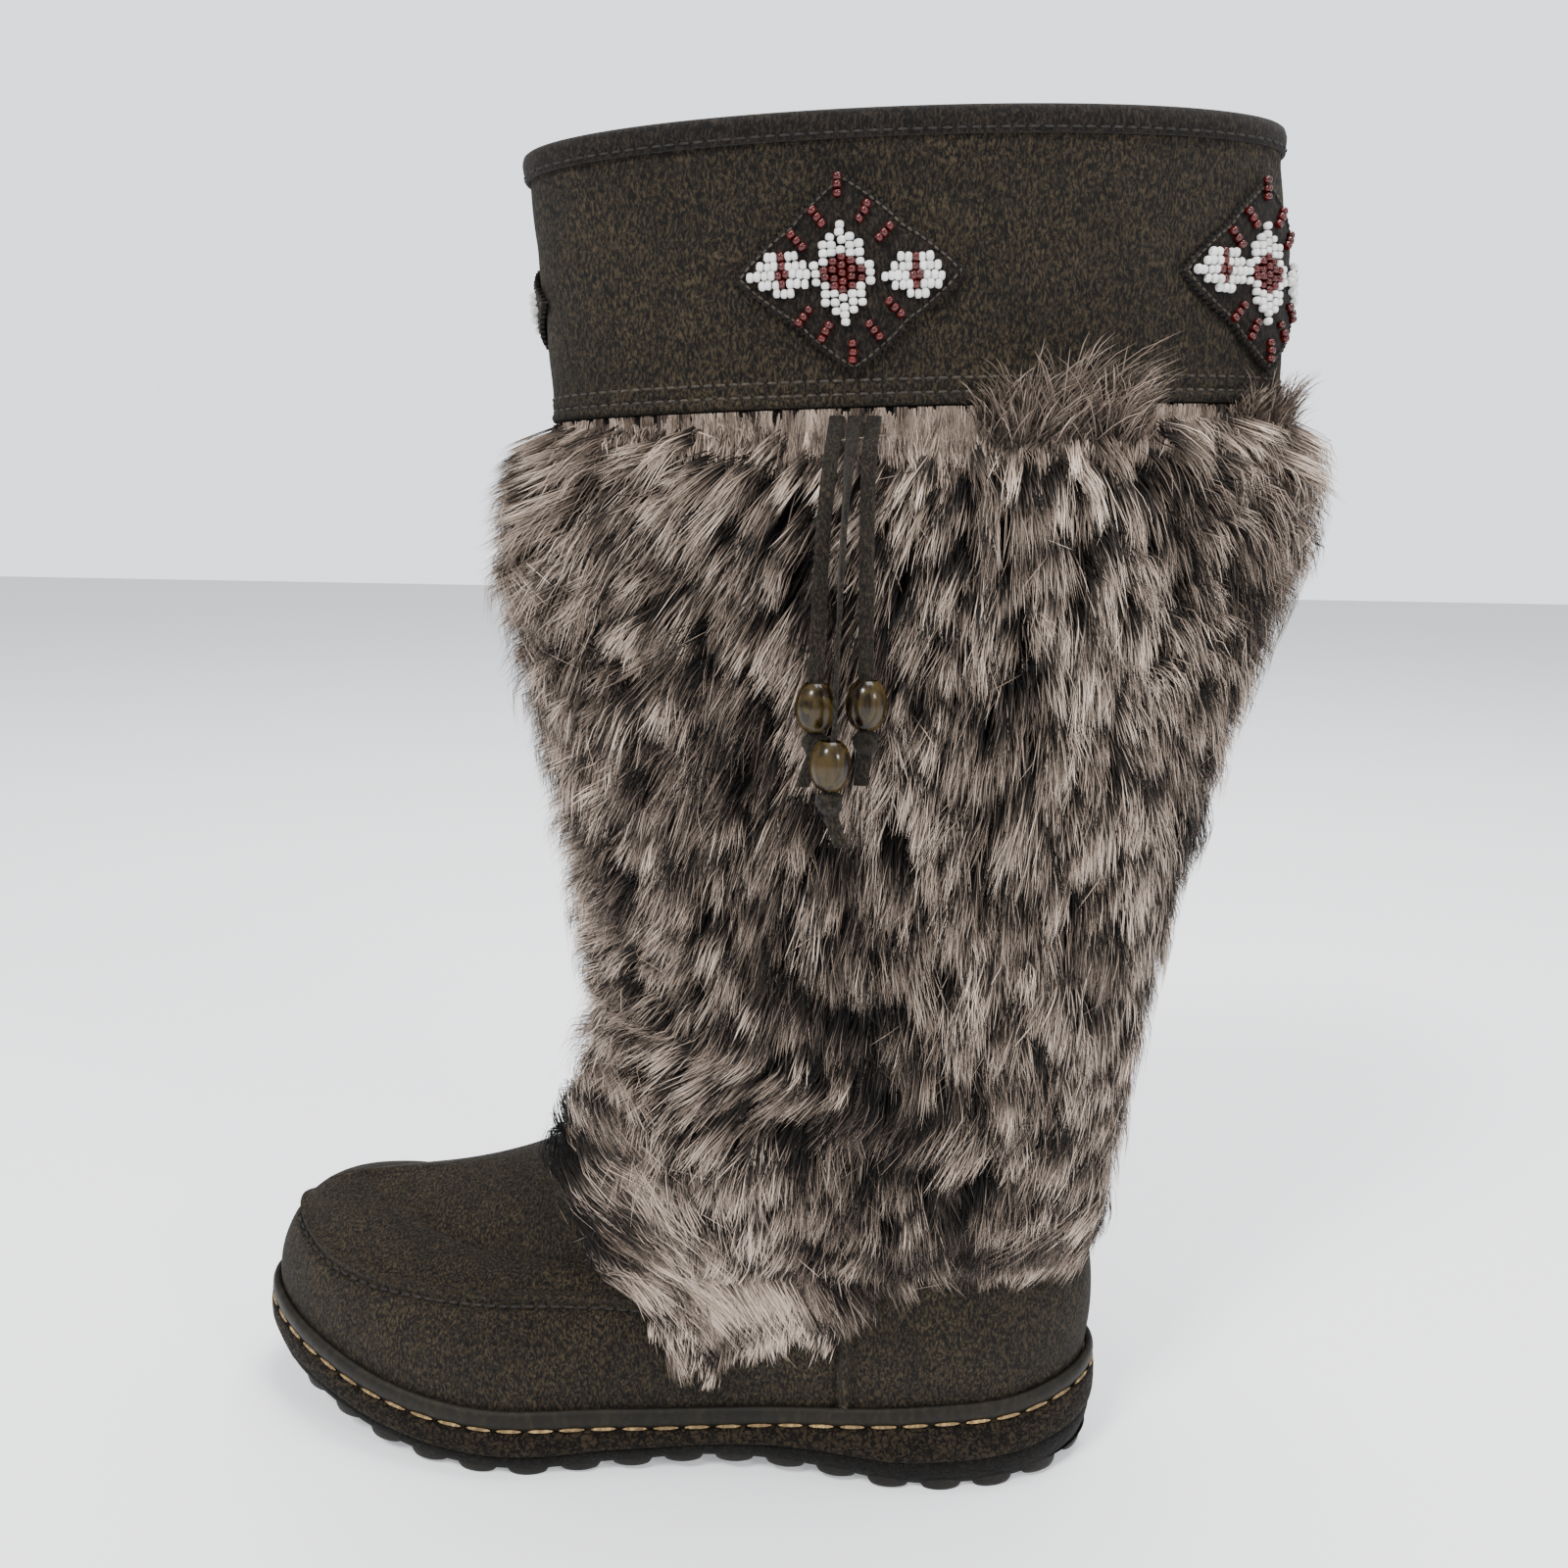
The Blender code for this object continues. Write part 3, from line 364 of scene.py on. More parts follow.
# Midsole
# A wedge of crepe rubber, thick under the heel, cemented to the welt and buffed round its edge.
# Its open pebble is coarser than the outsole's, and it stands a little proud of the rubber below.
LEDGE = 0.0008

# The near-black furrow colour is painted shade in the pebble's hollows
crepe = new_finish("brown crepe", pebble,
                   {"Size": 0.0021, "Shaded furrow": (0.0022, 0.0015, 0.0009),
                    "Crown": (0.0215, 0.0150, 0.0082)},
                   1.0, 0.0009, Roughness=0.85, Specular_IOR_Level=0.12)

seam, parting = stitch_height(AROUND), parting_height(AROUND) + GAP / 2
midsole_edge = ((-1.2, 0.0), (-0.2, 0.01), (0.55, 0.08), (1.0, 0.25), (1.1, 0.5), (1.0, 0.75),
                (0.75, 0.9), (0.1, 0.97), (-1.2, 1.0))
rows = to_middle(parting)
rows += [sole_ring(LEDGE * out, mix(parting, seam, up)) for out, up in midsole_edge]
rows += reversed(to_middle(seam))
add_piece("midsole_wedge", lofted(rows), [crepe], ["midsole"])


# Upper
# Suede foot and shaft, lined with fleece and lasted over the insole. A moccasin apron is sewn in
# with a raised seam, and a piped seam closes each side ahead of the heel.
UPPER_WALL = 0.0022
WELT_THICKNESS = 0.0028
WALL_HEIGHT = 0.046
TOE_ROLL = 0.0295
SIDE_BULGE = 0.0016
ANKLE_HEIGHT = 0.135
ANKLE_LENGTH = 0.137
ANKLE_WIDTH = 0.072
ANKLE_SET_IN = 0.008
ANKLE_RISE_TO_FRONT = 0.030
SHAFT_TOP = 0.4036
SHAFT_HEIGHT = SHAFT_TOP - ANKLE_HEIGHT
COLLAR_LENGTH = 0.2105
COLLAR_WIDTH = 0.073
COLLAR_CENTRE = -0.0215
COLLAR_RISE_TO_BACK = 0.0100
SHAFT_TWIST = 0.160
APRON_RIDGE = 0.0017
APRON_WIDTH = 0.0012
APRON_FURROW = 0.0028
MEDIAL_DROP = 0.20
PIPING_RIDGE = 0.0022
PIPING_WIDTH = 0.0015
PIPING_FURROW = 0.0026
PIPING_SHARE = 0.275
EASE = 11
TOE_CLEARANCE = 0.0012
SLACK = 0.0009
UP = np.array([0, 0, 1.0])

wall_shares = [0, 0.30, 0.50, 0.68, 0.85, 1]
wall_roll = curve_through(wall_shares, [0.03, 0.10, 0.45, 0.80, 0.95, 1])
wall_rise = curve_through(wall_shares, [1, 1.05, 1.05, 0.98, 0.94, 0.90])
wall_upright = curve_through(wall_shares, [1, 1, 0.5, 0.12, 0, 0])

instep_levels = [0, 0.17, 0.34, 0.50, 0.64, 0.77, 0.89, 1]
front_in = curve_through(instep_levels, [0, 0.13, 0.30, 0.48, 0.62, 0.76, 0.90, 1])
front_up = curve_through(instep_levels, [0, 0.038, 0.078, 0.134, 0.206, 0.360, 0.630, 1])
side_in = curve_through(instep_levels, [0, 0.15, 0.32, 0.50, 0.64, 0.77, 0.89, 1])
side_up = curve_through(instep_levels, [0, 0.06, 0.15, 0.30, 0.48, 0.67, 0.85, 1])
back_in = curve_through(instep_levels, [0, 0.10, 0.25, 0.45, 0.62, 0.78, 0.90, 1])
back_up = curve_through(instep_levels, [0, 0.17, 0.34, 0.50, 0.64, 0.77, 0.89, 1])

shaft_levels = [0, 0.15, 0.35, 0.55, 0.72, 1]
shaft_length = curve_through(shaft_levels, [0, 0.14, 0.44, 0.75, 0.98, 1])
shaft_width = curve_through(shaft_levels, [0, 0.45, 1.20, 1.25, 1, 1])
shaft_centre = curve_through(shaft_levels, [0, 0.05, 0.30, 0.65, 1, 0.43])
shaft_twist = curve_through(shaft_levels, [0, 0.15, 0.45, 0.80, 1, 1])
shaft_lean = curve_through(shaft_levels, [0, 0.30, 0.62, 0.85, 0.95, 1])


def rising(value, start, span):
    """A share that grows from 0 to 1 over a span after a start."""
    return np.clip((value - start) / span, 0, 1)


def falling(value, end, span):
    """A share that shrinks from 1 to 0 over a span before an end."""
    return np.clip((end - value) / span, 0, 1)


def wall_point(angle, level):
    """The side wall of the foot, which rolls over into the top of the toe."""
    share = share_of(angle)
    upright = wall_upright(share)
    quarter = level * math.pi / 2
    inward = (mix(1 - np.cos(quarter), level * level, upright) * TOE_ROLL * wall_roll(share)
              - SIDE_BULGE * np.sin(level * math.pi))
    up = mix(np.sin(quarter), level, upright) * WALL_HEIGHT * wall_rise(share)
    plan = outline(angle, -WELT_THICKNESS - GAP - inward)
    return np.stack([plan[..., 0], plan[..., 1], stitch_height(angle) + GAP + up], -1)


def shaft_point(angle, level):
    """The shaft: an oval that grows, turns and leans from the ankle up to the top edge."""
    long_axis = mix(ANKLE_LENGTH, COLLAR_LENGTH, shaft_length(level)) / 2
    short_axis = mix(ANKLE_WIDTH, COLLAR_WIDTH, shaft_width(level)) / 2
    centre = mix(HEEL_BACK - ANKLE_SET_IN - ANKLE_LENGTH / 2, COLLAR_CENTRE, shaft_centre(level))
    turn = SHAFT_TWIST * shaft_twist(level)
    x, y = long_axis * np.cos(angle), -short_axis * np.sin(angle)
    rise = mix(-ANKLE_RISE_TO_FRONT / ANKLE_LENGTH, COLLAR_RISE_TO_BACK / COLLAR_LENGTH,
               shaft_lean(level))
    return np.stack([centre + x * np.cos(turn) - y * np.sin(turn),
                     x * np.sin(turn) + y * np.cos(turn),
                     mix(ANKLE_HEIGHT, SHAFT_TOP, level) + rise * x], -1)


def instep_point(angle, level):
    """The top of the foot, from the side wall up to the ankle."""
    front = np.maximum(0, -np.cos(angle)) ** 1.5
    back = np.maximum(0, np.cos(angle)) ** 1.5
    side = 1 - front - back
    inward = front * front_in(level) + side * side_in(level) + back * back_in(level)
    up = front * front_up(level) + side * side_up(level) + back * back_up(level)
    low, high = wall_point(angle, np.ones_like(level)), shaft_point(angle, np.zeros_like(level))
    return mix(low, high, np.stack([inward, inward, up], -1))


def body_point(angle, level):
    """Level 0 is the feather line, 1 the top of the side wall, 2 the ankle and 3 the top edge."""
    angle, level = np.broadcast_arrays(np.array(angle, float), np.array(level, float))
    wall = wall_point(angle, np.clip(level, 0, 1))
    instep = instep_point(angle, np.clip(level - 1, 0, 1))
    shaft = shaft_point(angle, np.clip(level - 2, 0, 1.2))
    level = level[..., None]
    return np.where(level <= 1, wall, np.where(level <= 2, instep, shaft))


def body_normal(angle, level):
    aside, rise = STEP * 10, STEP * 20
    around = body_point(angle + aside, level) - body_point(angle - aside, level)
    upward = body_point(angle, level + rise) - body_point(angle, np.maximum(level - rise, 0))
    return unit(np.cross(upward, around))


def on_body(angle, level, out=0.0):
    """A place at a distance outwards from the smooth outer surface of the upper."""
    angle, level, out = np.broadcast_arrays(*(np.array(v, float) for v in (angle, level, out)))
    return body_point(angle, level) + body_normal(angle, level) * out[..., None]


apron_level = curve_through([0.40, 0.51, 0.60, 0.70, 0.775, 0.85, 0.90, 0.95, 1],
                            [0.72, 0.71, 0.70, 0.66, 0.60, 0.53, 0.505, 0.52, 0.55])


def apron_at(angle):
    """The apron seam's level, which is lower on the medial side."""
    return apron_level(share_of(angle)) - MEDIAL_DROP * rising(-np.sin(angle), 0, 0.5)


def ripple(angle, level, seeds, size):
    """Slow unevenness of a soft skin: a few crossing waves."""
    waves = np.random.default_rng(seeds).uniform((1, 1, 0), (5, 9, ROUND), (6, 3))
    total = sum(np.sin(np.round(a) * angle + b * level * 2 + c) for a, b, c in waves)
    return total / len(waves) * size


# The nap of suede: short fibres that lie this way and that, over patches brushed dark and light
nap, given, gives = new_group(
    "nap", {"Vector": None, "Fibre": 0.0005, "Dark": (0.01, 0.01, 0.01),
            "Light": (0.05, 0.05, 0.05), "Patches": 0.5}, {"Color": "Color", "Height": "Float"})
per_metre = maths(nap, "DIVIDE", 1.0, given["Fibre"])
swirl = add_node(nap, "ShaderNodeTexNoise",
                 {"Vector": given["Vector"], "Scale": 130.0, "Detail": 2.0})
centred = add_node(nap, "ShaderNodeVectorMath",
                   {0: swirl.outputs["Color"], 1: (0.5, 0.5, 0.5)}, operation="SUBTRACT")
bent = add_node(nap, "ShaderNodeVectorMath",
                {0: centred.outputs[0], 1: (0.0035, 0.0035, 0.0035), 2: given["Vector"]},
                operation="MULTIPLY_ADD")
lying = add_node(nap, "ShaderNodeVectorMath", {0: bent.outputs[0], 1: (1.0, 1.0, 0.45)},
                 operation="MULTIPLY")
fibres = add_node(nap, "ShaderNodeTexNoise",
                  {"Vector": lying.outputs[0], "Scale": per_metre, "Detail": 5.0,
                   "Roughness": 0.72, "Distortion": 0.3})
brushed = add_node(nap, "ShaderNodeTexNoise",
                   {"Vector": given["Vector"], "Scale": 38.0, "Detail": 5.0, "Roughness": 0.6,
                    "Distortion": 0.6})
tips = ramp(nap, fibres.outputs[0], 0.42, 0.68)
toned = blended(nap, tips, given["Dark"], given["Light"])
sway = maths(nap, "MULTIPLY", maths(nap, "SUBTRACT", brushed.outputs[0], 0.5), given["Patches"])
patchy = maths(nap, "MULTIPLY_ADD", sway, 3.0, 1.0)
nap.links.new(blended(nap, 1.0, toned, patchy, "MULTIPLY"), gives["Color"])
nap.links.new(fibres.outputs[0], gives["Height"])

suede = new_finish("olive brown suede", nap,
                   {"Fibre": 0.0007, "Dark": (0.0010, 0.0007, 0.0003),
                    "Light": (0.0460, 0.0335, 0.0180), "Patches": 0.45},
                   0.9, 0.0006, Roughness=0.96, Sheen_Weight=0.02, Sheen_Roughness=0.6,
                   Specular_IOR_Level=0.2)
fleece = new_finish("taupe fleece", nap,
                    {"Fibre": 0.0045, "Dark": (0.120, 0.095, 0.078),
                     "Light": (0.420, 0.350, 0.290), "Patches": 0.3},
                    1.0, 0.003, Roughness=0.98, Sheen_Weight=0.4, Sheen_Roughness=0.6)


def eased(places, angle, level):
    """The toe's top with the crease along it eased away: a mean over the angles near by."""
    over_toe = (rising(share_of(angle), 0.78, 0.14) * rising(level, 0.68, 0.2)
                * falling(level, 2.0, 0.6))
    shifts = range(-EASE, EASE + 1)
    mean = sum(np.roll(places[:, :-1], shift, axis=1) for shift in shifts) / len(shifts)
    mean = np.concatenate([mean, mean[:, :1]], 1)
    return mix(places, mean, over_toe[..., None])


piping_angle = float(angle_of(PIPING_SHARE))
beside_piping = np.linspace(-0.026, 0.026, 14)
angles = np.unique(np.concatenate([np.linspace(0, ROUND, 241), piping_angle + beside_piping,
                                   ROUND - piping_angle + beside_piping]))
levels = np.concatenate([np.arange(0, 0.27, 0.03), np.arange(0.27, 0.78, 0.0075),
                         np.arange(0.78, 1, 0.03), np.arange(1, 2, 0.04), np.linspace(2, 3, 21)])
turn, level = np.meshgrid(angles, levels)
climb = STEP * 20
speed = np.linalg.norm(body_point(turn, level + climb) - body_point(turn, level), axis=-1) / climb
off_seam = (level - apron_at(turn)) * speed
apron = (np.exp(-(off_seam / APRON_WIDTH) ** 2) * APRON_RIDGE
         - np.exp(-((off_seam + APRON_FURROW) / 0.0014) ** 2) * APRON_RIDGE * 0.6)
apron = apron * rising(share_of(turn), 0.42, 0.06)
off_piping = (np.arccos(np.cos(turn)) - piping_angle) * SOLE_LENGTH / 2 * np.sin(piping_angle)
piping = (np.exp(-(off_piping / PIPING_WIDTH) ** 4) * PIPING_RIDGE
          - np.exp(-((np.abs(off_piping) - PIPING_FURROW) / 0.0008) ** 2) * 0.0007)
piping = piping * falling(level, 1.3, 0.2)
slack = ripple(turn, level, 3, SLACK) * rising(level, 0, 0.3) * falling(level, 3, 0.3)
outer = eased(on_body(turn, level, apron + piping + slack), turn, level)

# The inner wall is set in square to the outer one, but straight down over the toe's tight roll
inner_levels = levels[(levels < 0.02) | (levels > 0.1)][::-1][::2]
inner_levels = np.append(inner_levels[:-1], 0.0)
turn, level = np.meshgrid(angles, inner_levels)
over_toe = (rising(share_of(turn), 0.72, 0.1) * rising(level, 0.6, 0.2)
            * falling(level, 2, 0.4))[..., None]
outward = unit(mix(body_normal(turn, level), UP, over_toe))
inner = (eased(body_point(turn, level), turn, level) - outward * UPPER_WALL
         - UP * TOE_CLEARANCE * over_toe)
mesh = lofted(np.concatenate([outer, inner, outer[:1]]))
mesh.faces.ensure_lookup_table()
for face in mesh.faces[(len(outer) - 1) * (len(angles) - 1):]:
    face.material_index = 1
add_piece("upper_suede", mesh, [suede, fleece], ["upper"])


# Welt
# A smooth olive strip of split leather round the foot of the upper. Its outer edge is turned up
# against the suede, and it is stitched down to the midsole with heavy cream thread.
# A stitch is given by its pitch, length and width.
WELT_HEIGHT = 0.0062
WELT_STITCH = (0.0098, 0.0080, 0.0010)
APRON_STITCH = (0.0042, 0.0031, 0.0009)


def level_at_height(angle, up):
    """The level at which the side wall is a height above the feather line."""
    share = share_of(angle)
    part = np.minimum(up / (WALL_HEIGHT * wall_rise(share)), 1)
    return mix(np.arcsin(part) * 2 / math.pi, part, wall_upright(share))


strip_leather = new_finish("olive welt strip", nap,
                           {"Fibre": 0.0022, "Dark": (0.0045, 0.0033, 0.0015),
                            "Light": (0.0125, 0.0094, 0.0045), "Patches": 0.5},
                           0.35, 0.0004, Roughness=0.60, Specular_IOR_Level=0.2)
foot = ((-WELT_THICKNESS, GAP), (-0.0012, GAP), (-0.0007, GAP), (-0.0005, 0.0007),
        (-0.0004, 0.0011), (0.0, 0.0015))
lip = ((0.0032, 1.0), (0.0044, 0.93), (0.0054, 0.78), (WELT_HEIGHT, 0.5), (WELT_HEIGHT, 0.3),
       (0.0056, 0.0))
rows = [sole_ring(out, seam + up) for out, up in foot]
rows += [on_body(AROUND, level_at_height(AROUND, up), GAP + WELT_THICKNESS * out)
         for up, out in lip]
rows.append(rows[0])
add_piece("welt_strip", lofted(rows), [strip_leather], ["welt"])


def copied(mesh, count):
    """A mesh that holds a number of copies of a small shape, one after another."""
    data = bpy.data.meshes.new("copies")
    mesh.to_mesh(data)
    mesh.free()
    block = bmesh.new()
    block.from_mesh(data)
    verts, edges, faces = len(block.verts), len(block.edges), len(block.faces)
    made = 1
    while made < count:
        more = min(made, count - made)
        bmesh.ops.duplicate(block, geom=block.verts[:verts * more] + block.edges[:edges * more]
                            + block.faces[:faces * more])
        made += more
        for table in (block.verts, block.edges, block.faces):
            table.ensure_lookup_table()
    block.to_mesh(data)
    block.free()
    return data


def set_places(data, places):
    data.vertices.foreach_set("co", places.astype(np.float32).ravel())
    data.update()


def strewn(name, mesh, origins, axes):
    """Copies of a small shape, each with its origin and its three axes."""
    mesh.verts.ensure_lookup_table()
    local = np.array([vert.co for vert in mesh.verts])
    data = copied(mesh, len(origins))
    data.name = name
    set_places(data, origins[:, None] + np.einsum("vk,nkj->nvj", local, axes))
    return data


def stitches(path, normals, pitch, length, width):
    """Origins and axes of stitches along a line that lies on a surface."""
    gone = way_along(path)
    count = int(gone[-1] / pitch)
    middle = (np.arange(count) + 0.5) * gone[-1] / count

    def at(where, values):
        return np.stack([np.interp(where, gone, values[:, k]) for k in range(3)], -1)

    along = at(middle + length / 2, path) - at(middle - length / 2, path)
    normal = unit(at(middle, normals))
    across = unit(np.cross(normal, along))
    return at(middle, path), np.stack([across * width / 2, normal * width * 0.4, along / 2], 1)


def stitch_shape(segments):
    """A stitch: a short rounded roll, its ends dipping into the hide."""
    mesh = bmesh.new()
    bmesh.ops.create_uvsphere(mesh, u_segments=segments, v_segments=6, radius=1.0)
    for vert in mesh.verts:
        reach = abs(vert.co.z)
        vert.co.x *= 1 + 0.5 * reach * (1 - reach)
        vert.co.y -= 0.35 * reach * reach
    return mesh


def sew(name, seams, finish, segments=8):
    """One piece of all the stitches in some seams, each with its path, normals and stitch."""
    sewn = [stitches(path, normals, *stitch) for path, normals, stitch in seams]
    origins, axes = (np.concatenate(part) for part in zip(*sewn))
    add_data(name, strewn(name, stitch_shape(segments), origins, axes), [finish])


def new_thread(name, dark, light, fibre=0.0016, patches=0.6, roughness=0.85):
    return new_finish(name, nap, {"Fibre": fibre, "Dark": dark, "Light": light, "Patches": patches},
                      0.6, 0.0003, Roughness=roughness)


cream_thread = new_thread("cream thread", (0.110, 0.066, 0.024), (0.360, 0.240, 0.096),
                          roughness=0.8)
dark_thread = new_thread("dark thread", (0.0030, 0.0022, 0.0016), (0.018, 0.013, 0.009),
                         patches=0.4)

outward = unit(outline(AROUND, 0.01) - outline(AROUND))
outward = np.column_stack([outward, np.full(len(AROUND), 0.35)])
sew("welt_stitches", [(sole_ring(0.0001, seam + 0.0007), outward, WELT_STITCH)], cream_thread)

# The apron's stitches lie in the furrow below its ridge
half = angle_of(np.linspace(0.44, 1, 120))
seam_angles = np.concatenate([half, ROUND - half[-2::-1]])
seam_levels = apron_at(seam_angles)
rise = body_point(seam_angles, seam_levels + 0.01) - body_point(seam_angles, seam_levels)
seam_levels = seam_levels - APRON_FURROW / (np.linalg.norm(rise, axis=-1) / 0.01)
sew("apron_stitches", [(on_body(seam_angles, seam_levels, -0.0002),
                        body_normal(seam_angles, seam_levels), APRON_STITCH)],
    dark_thread)


# Insole
# A thick fleece sock cut to the inside of the foot. It lies on the midsole, inside the upper, and
# its edge is rounded.
INSOLE_SET_IN = WELT_THICKNESS + GAP + UPPER_WALL + 0.0008
INSOLE_THICKNESS = 0.004

smaller = np.array([0.97, 0.85, 1])
rows = [row * smaller for row in to_middle(seam + GAP)]
rows[-1] = rows[-1] * np.array([0.99, 0.9, 1])
rows += [sole_ring(-INSOLE_SET_IN - into, seam + up)
         for into, up in ((0, GAP), (0, 0.002), (0.0007, 0.0034), (0.002, INSOLE_THICKNESS))]
rows += [row * smaller for row in reversed(to_middle(seam + INSOLE_THICKNESS))]
add_piece("insole_sock", lofted(rows), [fleece], ["insole"])


# Collar
# A band of the same suede round the top of the shaft. Its lower edge is folded under and held
# with two rows of tan stitches over a cord that makes a low ridge.
COLLAR_THICKNESS = 0.0016
COLLAR_HEIGHT = 0.0734
COLLAR_STITCH = (0.00351, 0.0026, 0.0008)
COLLAR_SLACK = 0.0011
HEM = 0.0076


def collar_level(below_top):
    return 3 - below_top / SHAFT_HEIGHT


low, high = GAP, GAP + COLLAR_THICKNESS
hem = ((0.0, low), (0.0, low + 0.0004), (0.0004, high + 0.0003), (0.0012, high + 0.0007),
       (0.0020, high + 0.0008), (0.0028, high + 0.0004), (0.0034, high - 0.0001),
       (0.0044, high + 0.0003), (0.0056, high + 0.0004), (0.0068, high + 0.0001), (HEM, high))
rows = [on_body(AROUND, collar_level(COLLAR_HEIGHT - up), out) for up, out in hem]
for up in np.linspace(0.010, COLLAR_HEIGHT - 0.001, 24):
    level = collar_level(COLLAR_HEIGHT - up)
    fades = min((up - HEM) / 0.01, (COLLAR_HEIGHT - up) / 0.01, 1)
    slack = np.abs(ripple(AROUND, level * 4, 11, COLLAR_SLACK)) * fades
    rows.append(on_body(AROUND, level, high + slack))
rows += [on_body(AROUND, collar_level(up), low) for up in np.linspace(0.0, COLLAR_HEIGHT, 8)]
add_piece("collar_band", lofted(rows), [suede], ["collar"])

tan_thread = new_thread("tan thread", (0.020, 0.0155, 0.0105), (0.060, 0.046, 0.030),
                        fibre=0.0012)
seams = []
for up, out in ((0.0034, high + 0.0001), (0.0070, high + 0.0002)):
    level = collar_level(COLLAR_HEIGHT - up)
    seams.append((on_body(AROUND, level, out), body_normal(AROUND, level), COLLAR_STITCH))
sew("collar_stitches", seams, tan_thread)


# Binding
# A strip of darker suede folded over the top edge of the collar and the lining, with one row of
# stitches near its lower edge.
BINDING_THICKNESS = 0.0011
BINDING_DROP = 0.0058
BINDING_STITCH = (0.0038, 0.0028, 0.0007)

dark_suede = new_finish("dark brown suede", nap,
                        {"Fibre": 0.0007, "Dark": (0.0014, 0.0010, 0.0007),
                         "Light": (0.0250, 0.0180, 0.0125), "Patches": 0.35},
                        0.8, 0.0004, Roughness=0.96, Sheen_Weight=0.04, Specular_IOR_Level=0.2)
inside, outside = -UPPER_WALL - GAP, GAP * 2 + COLLAR_THICKNESS
far, near = inside - BINDING_THICKNESS, outside + BINDING_THICKNESS
section = [(outside, BINDING_DROP), (near - 0.0002, BINDING_DROP), (near, BINDING_DROP - 0.0004),
           (near - 0.0002, 0.0044), (near + 0.0002, 0.0030), (near + 0.0003, 0.0012), (near, 0.0)]
section += [(mix(near, far, (1 - math.cos(turn)) / 2), -0.0018 * math.sin(turn))
            for turn in np.linspace(0.4, 2.74, 7)]
section += [(far, 0.0), (far, 0.003), (far, BINDING_DROP), (inside, BINDING_DROP), (inside, -GAP),
            (outside, -GAP)]
rows = []
for out, below in section:
    row = on_body(AROUND, min(collar_level(below), 3.0), out)
    row[:, 2] += max(-below, 0.0)
    rows.append(row)
add_piece("binding_strip", lofted(rows + rows[:1]), [dark_suede], ["binding"])
level = collar_level(0.0046)
sew("binding_stitches", [(on_body(AROUND, level, near + 0.0001), body_normal(AROUND, level),
                          BINDING_STITCH)], dark_thread)


# Patches
# Four diamonds of smooth dark suede on the collar, at the front, the back and both sides. Their
# edges are pinked, and light thread runs along them just inside the points.
PATCH_WIDTH = 0.063
PATCH_HEIGHT = 0.0515
PATCH_THICKNESS = 0.0012
PATCH_GAP = 0.0009
PATCH_DROP = 0.003
PATCH_SHIFT = 0.021
PATCH_STITCH = (0.0021, 0.0016, 0.00065)
TEETH = 23
TOOTH = 0.0013

middle_level = collar_level(COLLAR_HEIGHT / 2 + PATCH_DROP)
turns = np.linspace(0, ROUND, 721)
gone = way_along(on_body(turns, middle_level, COLLAR_THICKNESS))
girth = gone[-1]


def on_collar(arc, up, out):
    """A place on the collar by arc length round it and height from the patches' middle."""
    return on_body(np.interp(arc % girth, gone, turns), middle_level + up / SHAFT_HEIGHT, out)


# The pinked rim: a diamond whose sides bow in a little, with the points of its teeth outwards
patch_low = GAP + COLLAR_THICKNESS + PATCH_GAP
patch_high = patch_low + PATCH_THICKNESS
corners = np.array([(1, 0), (0, 1), (-1, 0), (0, -1), (1, 0)], float)
along = np.linspace(0, 1, TEETH * 2 + 1)[:-1]
rim = np.concatenate([mix(corners[k], corners[k + 1], along[:, None]) for k in range(4)])
rim = rim * (1 - 0.03 * np.cos(ROUND * np.tile(along, 4))[:, None] ** 6)
rim = np.vstack([rim, rim[:1]]) * np.array([PATCH_WIDTH, PATCH_HEIGHT]) / 2
teeth = unit(rim) * np.where(np.arange(len(rim)) % 2 == 0, 1.0, -1.0)[:, None]
patch_rings = ((1.0, 0.35, 0.0), (1.0, 0.45, 0.7), (0.990, 0.40, 1.0), (0.965, 0.2, 1.15),
               (0.93, 0.1, 1.0), (0.90, 0.0, 0.80), (0.87, 0.0, 1.0), (0.80, 0.0, 1.1),
               (0.6, 0.0, 1.05), (0.4, 0.0, 1.0), (0.2, 0.0, 1.0), (0.0, 0.0, 1.0))
quarters = ("back", "lateral", "front", "medial")
patch_centres = {name: girth * k / 4 + PATCH_SHIFT for k, name in enumerate(quarters)}
for name, centre in patch_centres.items():
    rows = [on_collar(centre + rim[:, 0] * reach, rim[:, 1] * reach, patch_low)
            for reach in (0, 0.5, 0.9)]
    for reach, points, thick in patch_rings:
        flat = rim * reach + teeth * points * TOOTH
        out = mix(patch_low, patch_high, thick)
        rows.append(on_collar(centre + flat[:, 0], flat[:, 1], out))
    add_piece("patch_" + name + "_suede", lofted(rows), [dark_suede],
              ["patch_" + name])

seams = []
line = rim * 0.945
for centre in patch_centres.values():
    path = on_collar(centre + line[:, 0], line[:, 1], patch_high + 0.0003)
    lift = on_collar(centre + line[:, 0], line[:, 1], patch_high + 0.003) - path
    seams.append((path, lift, PATCH_STITCH))
sew("patch_stitches", seams, tan_thread, 6)


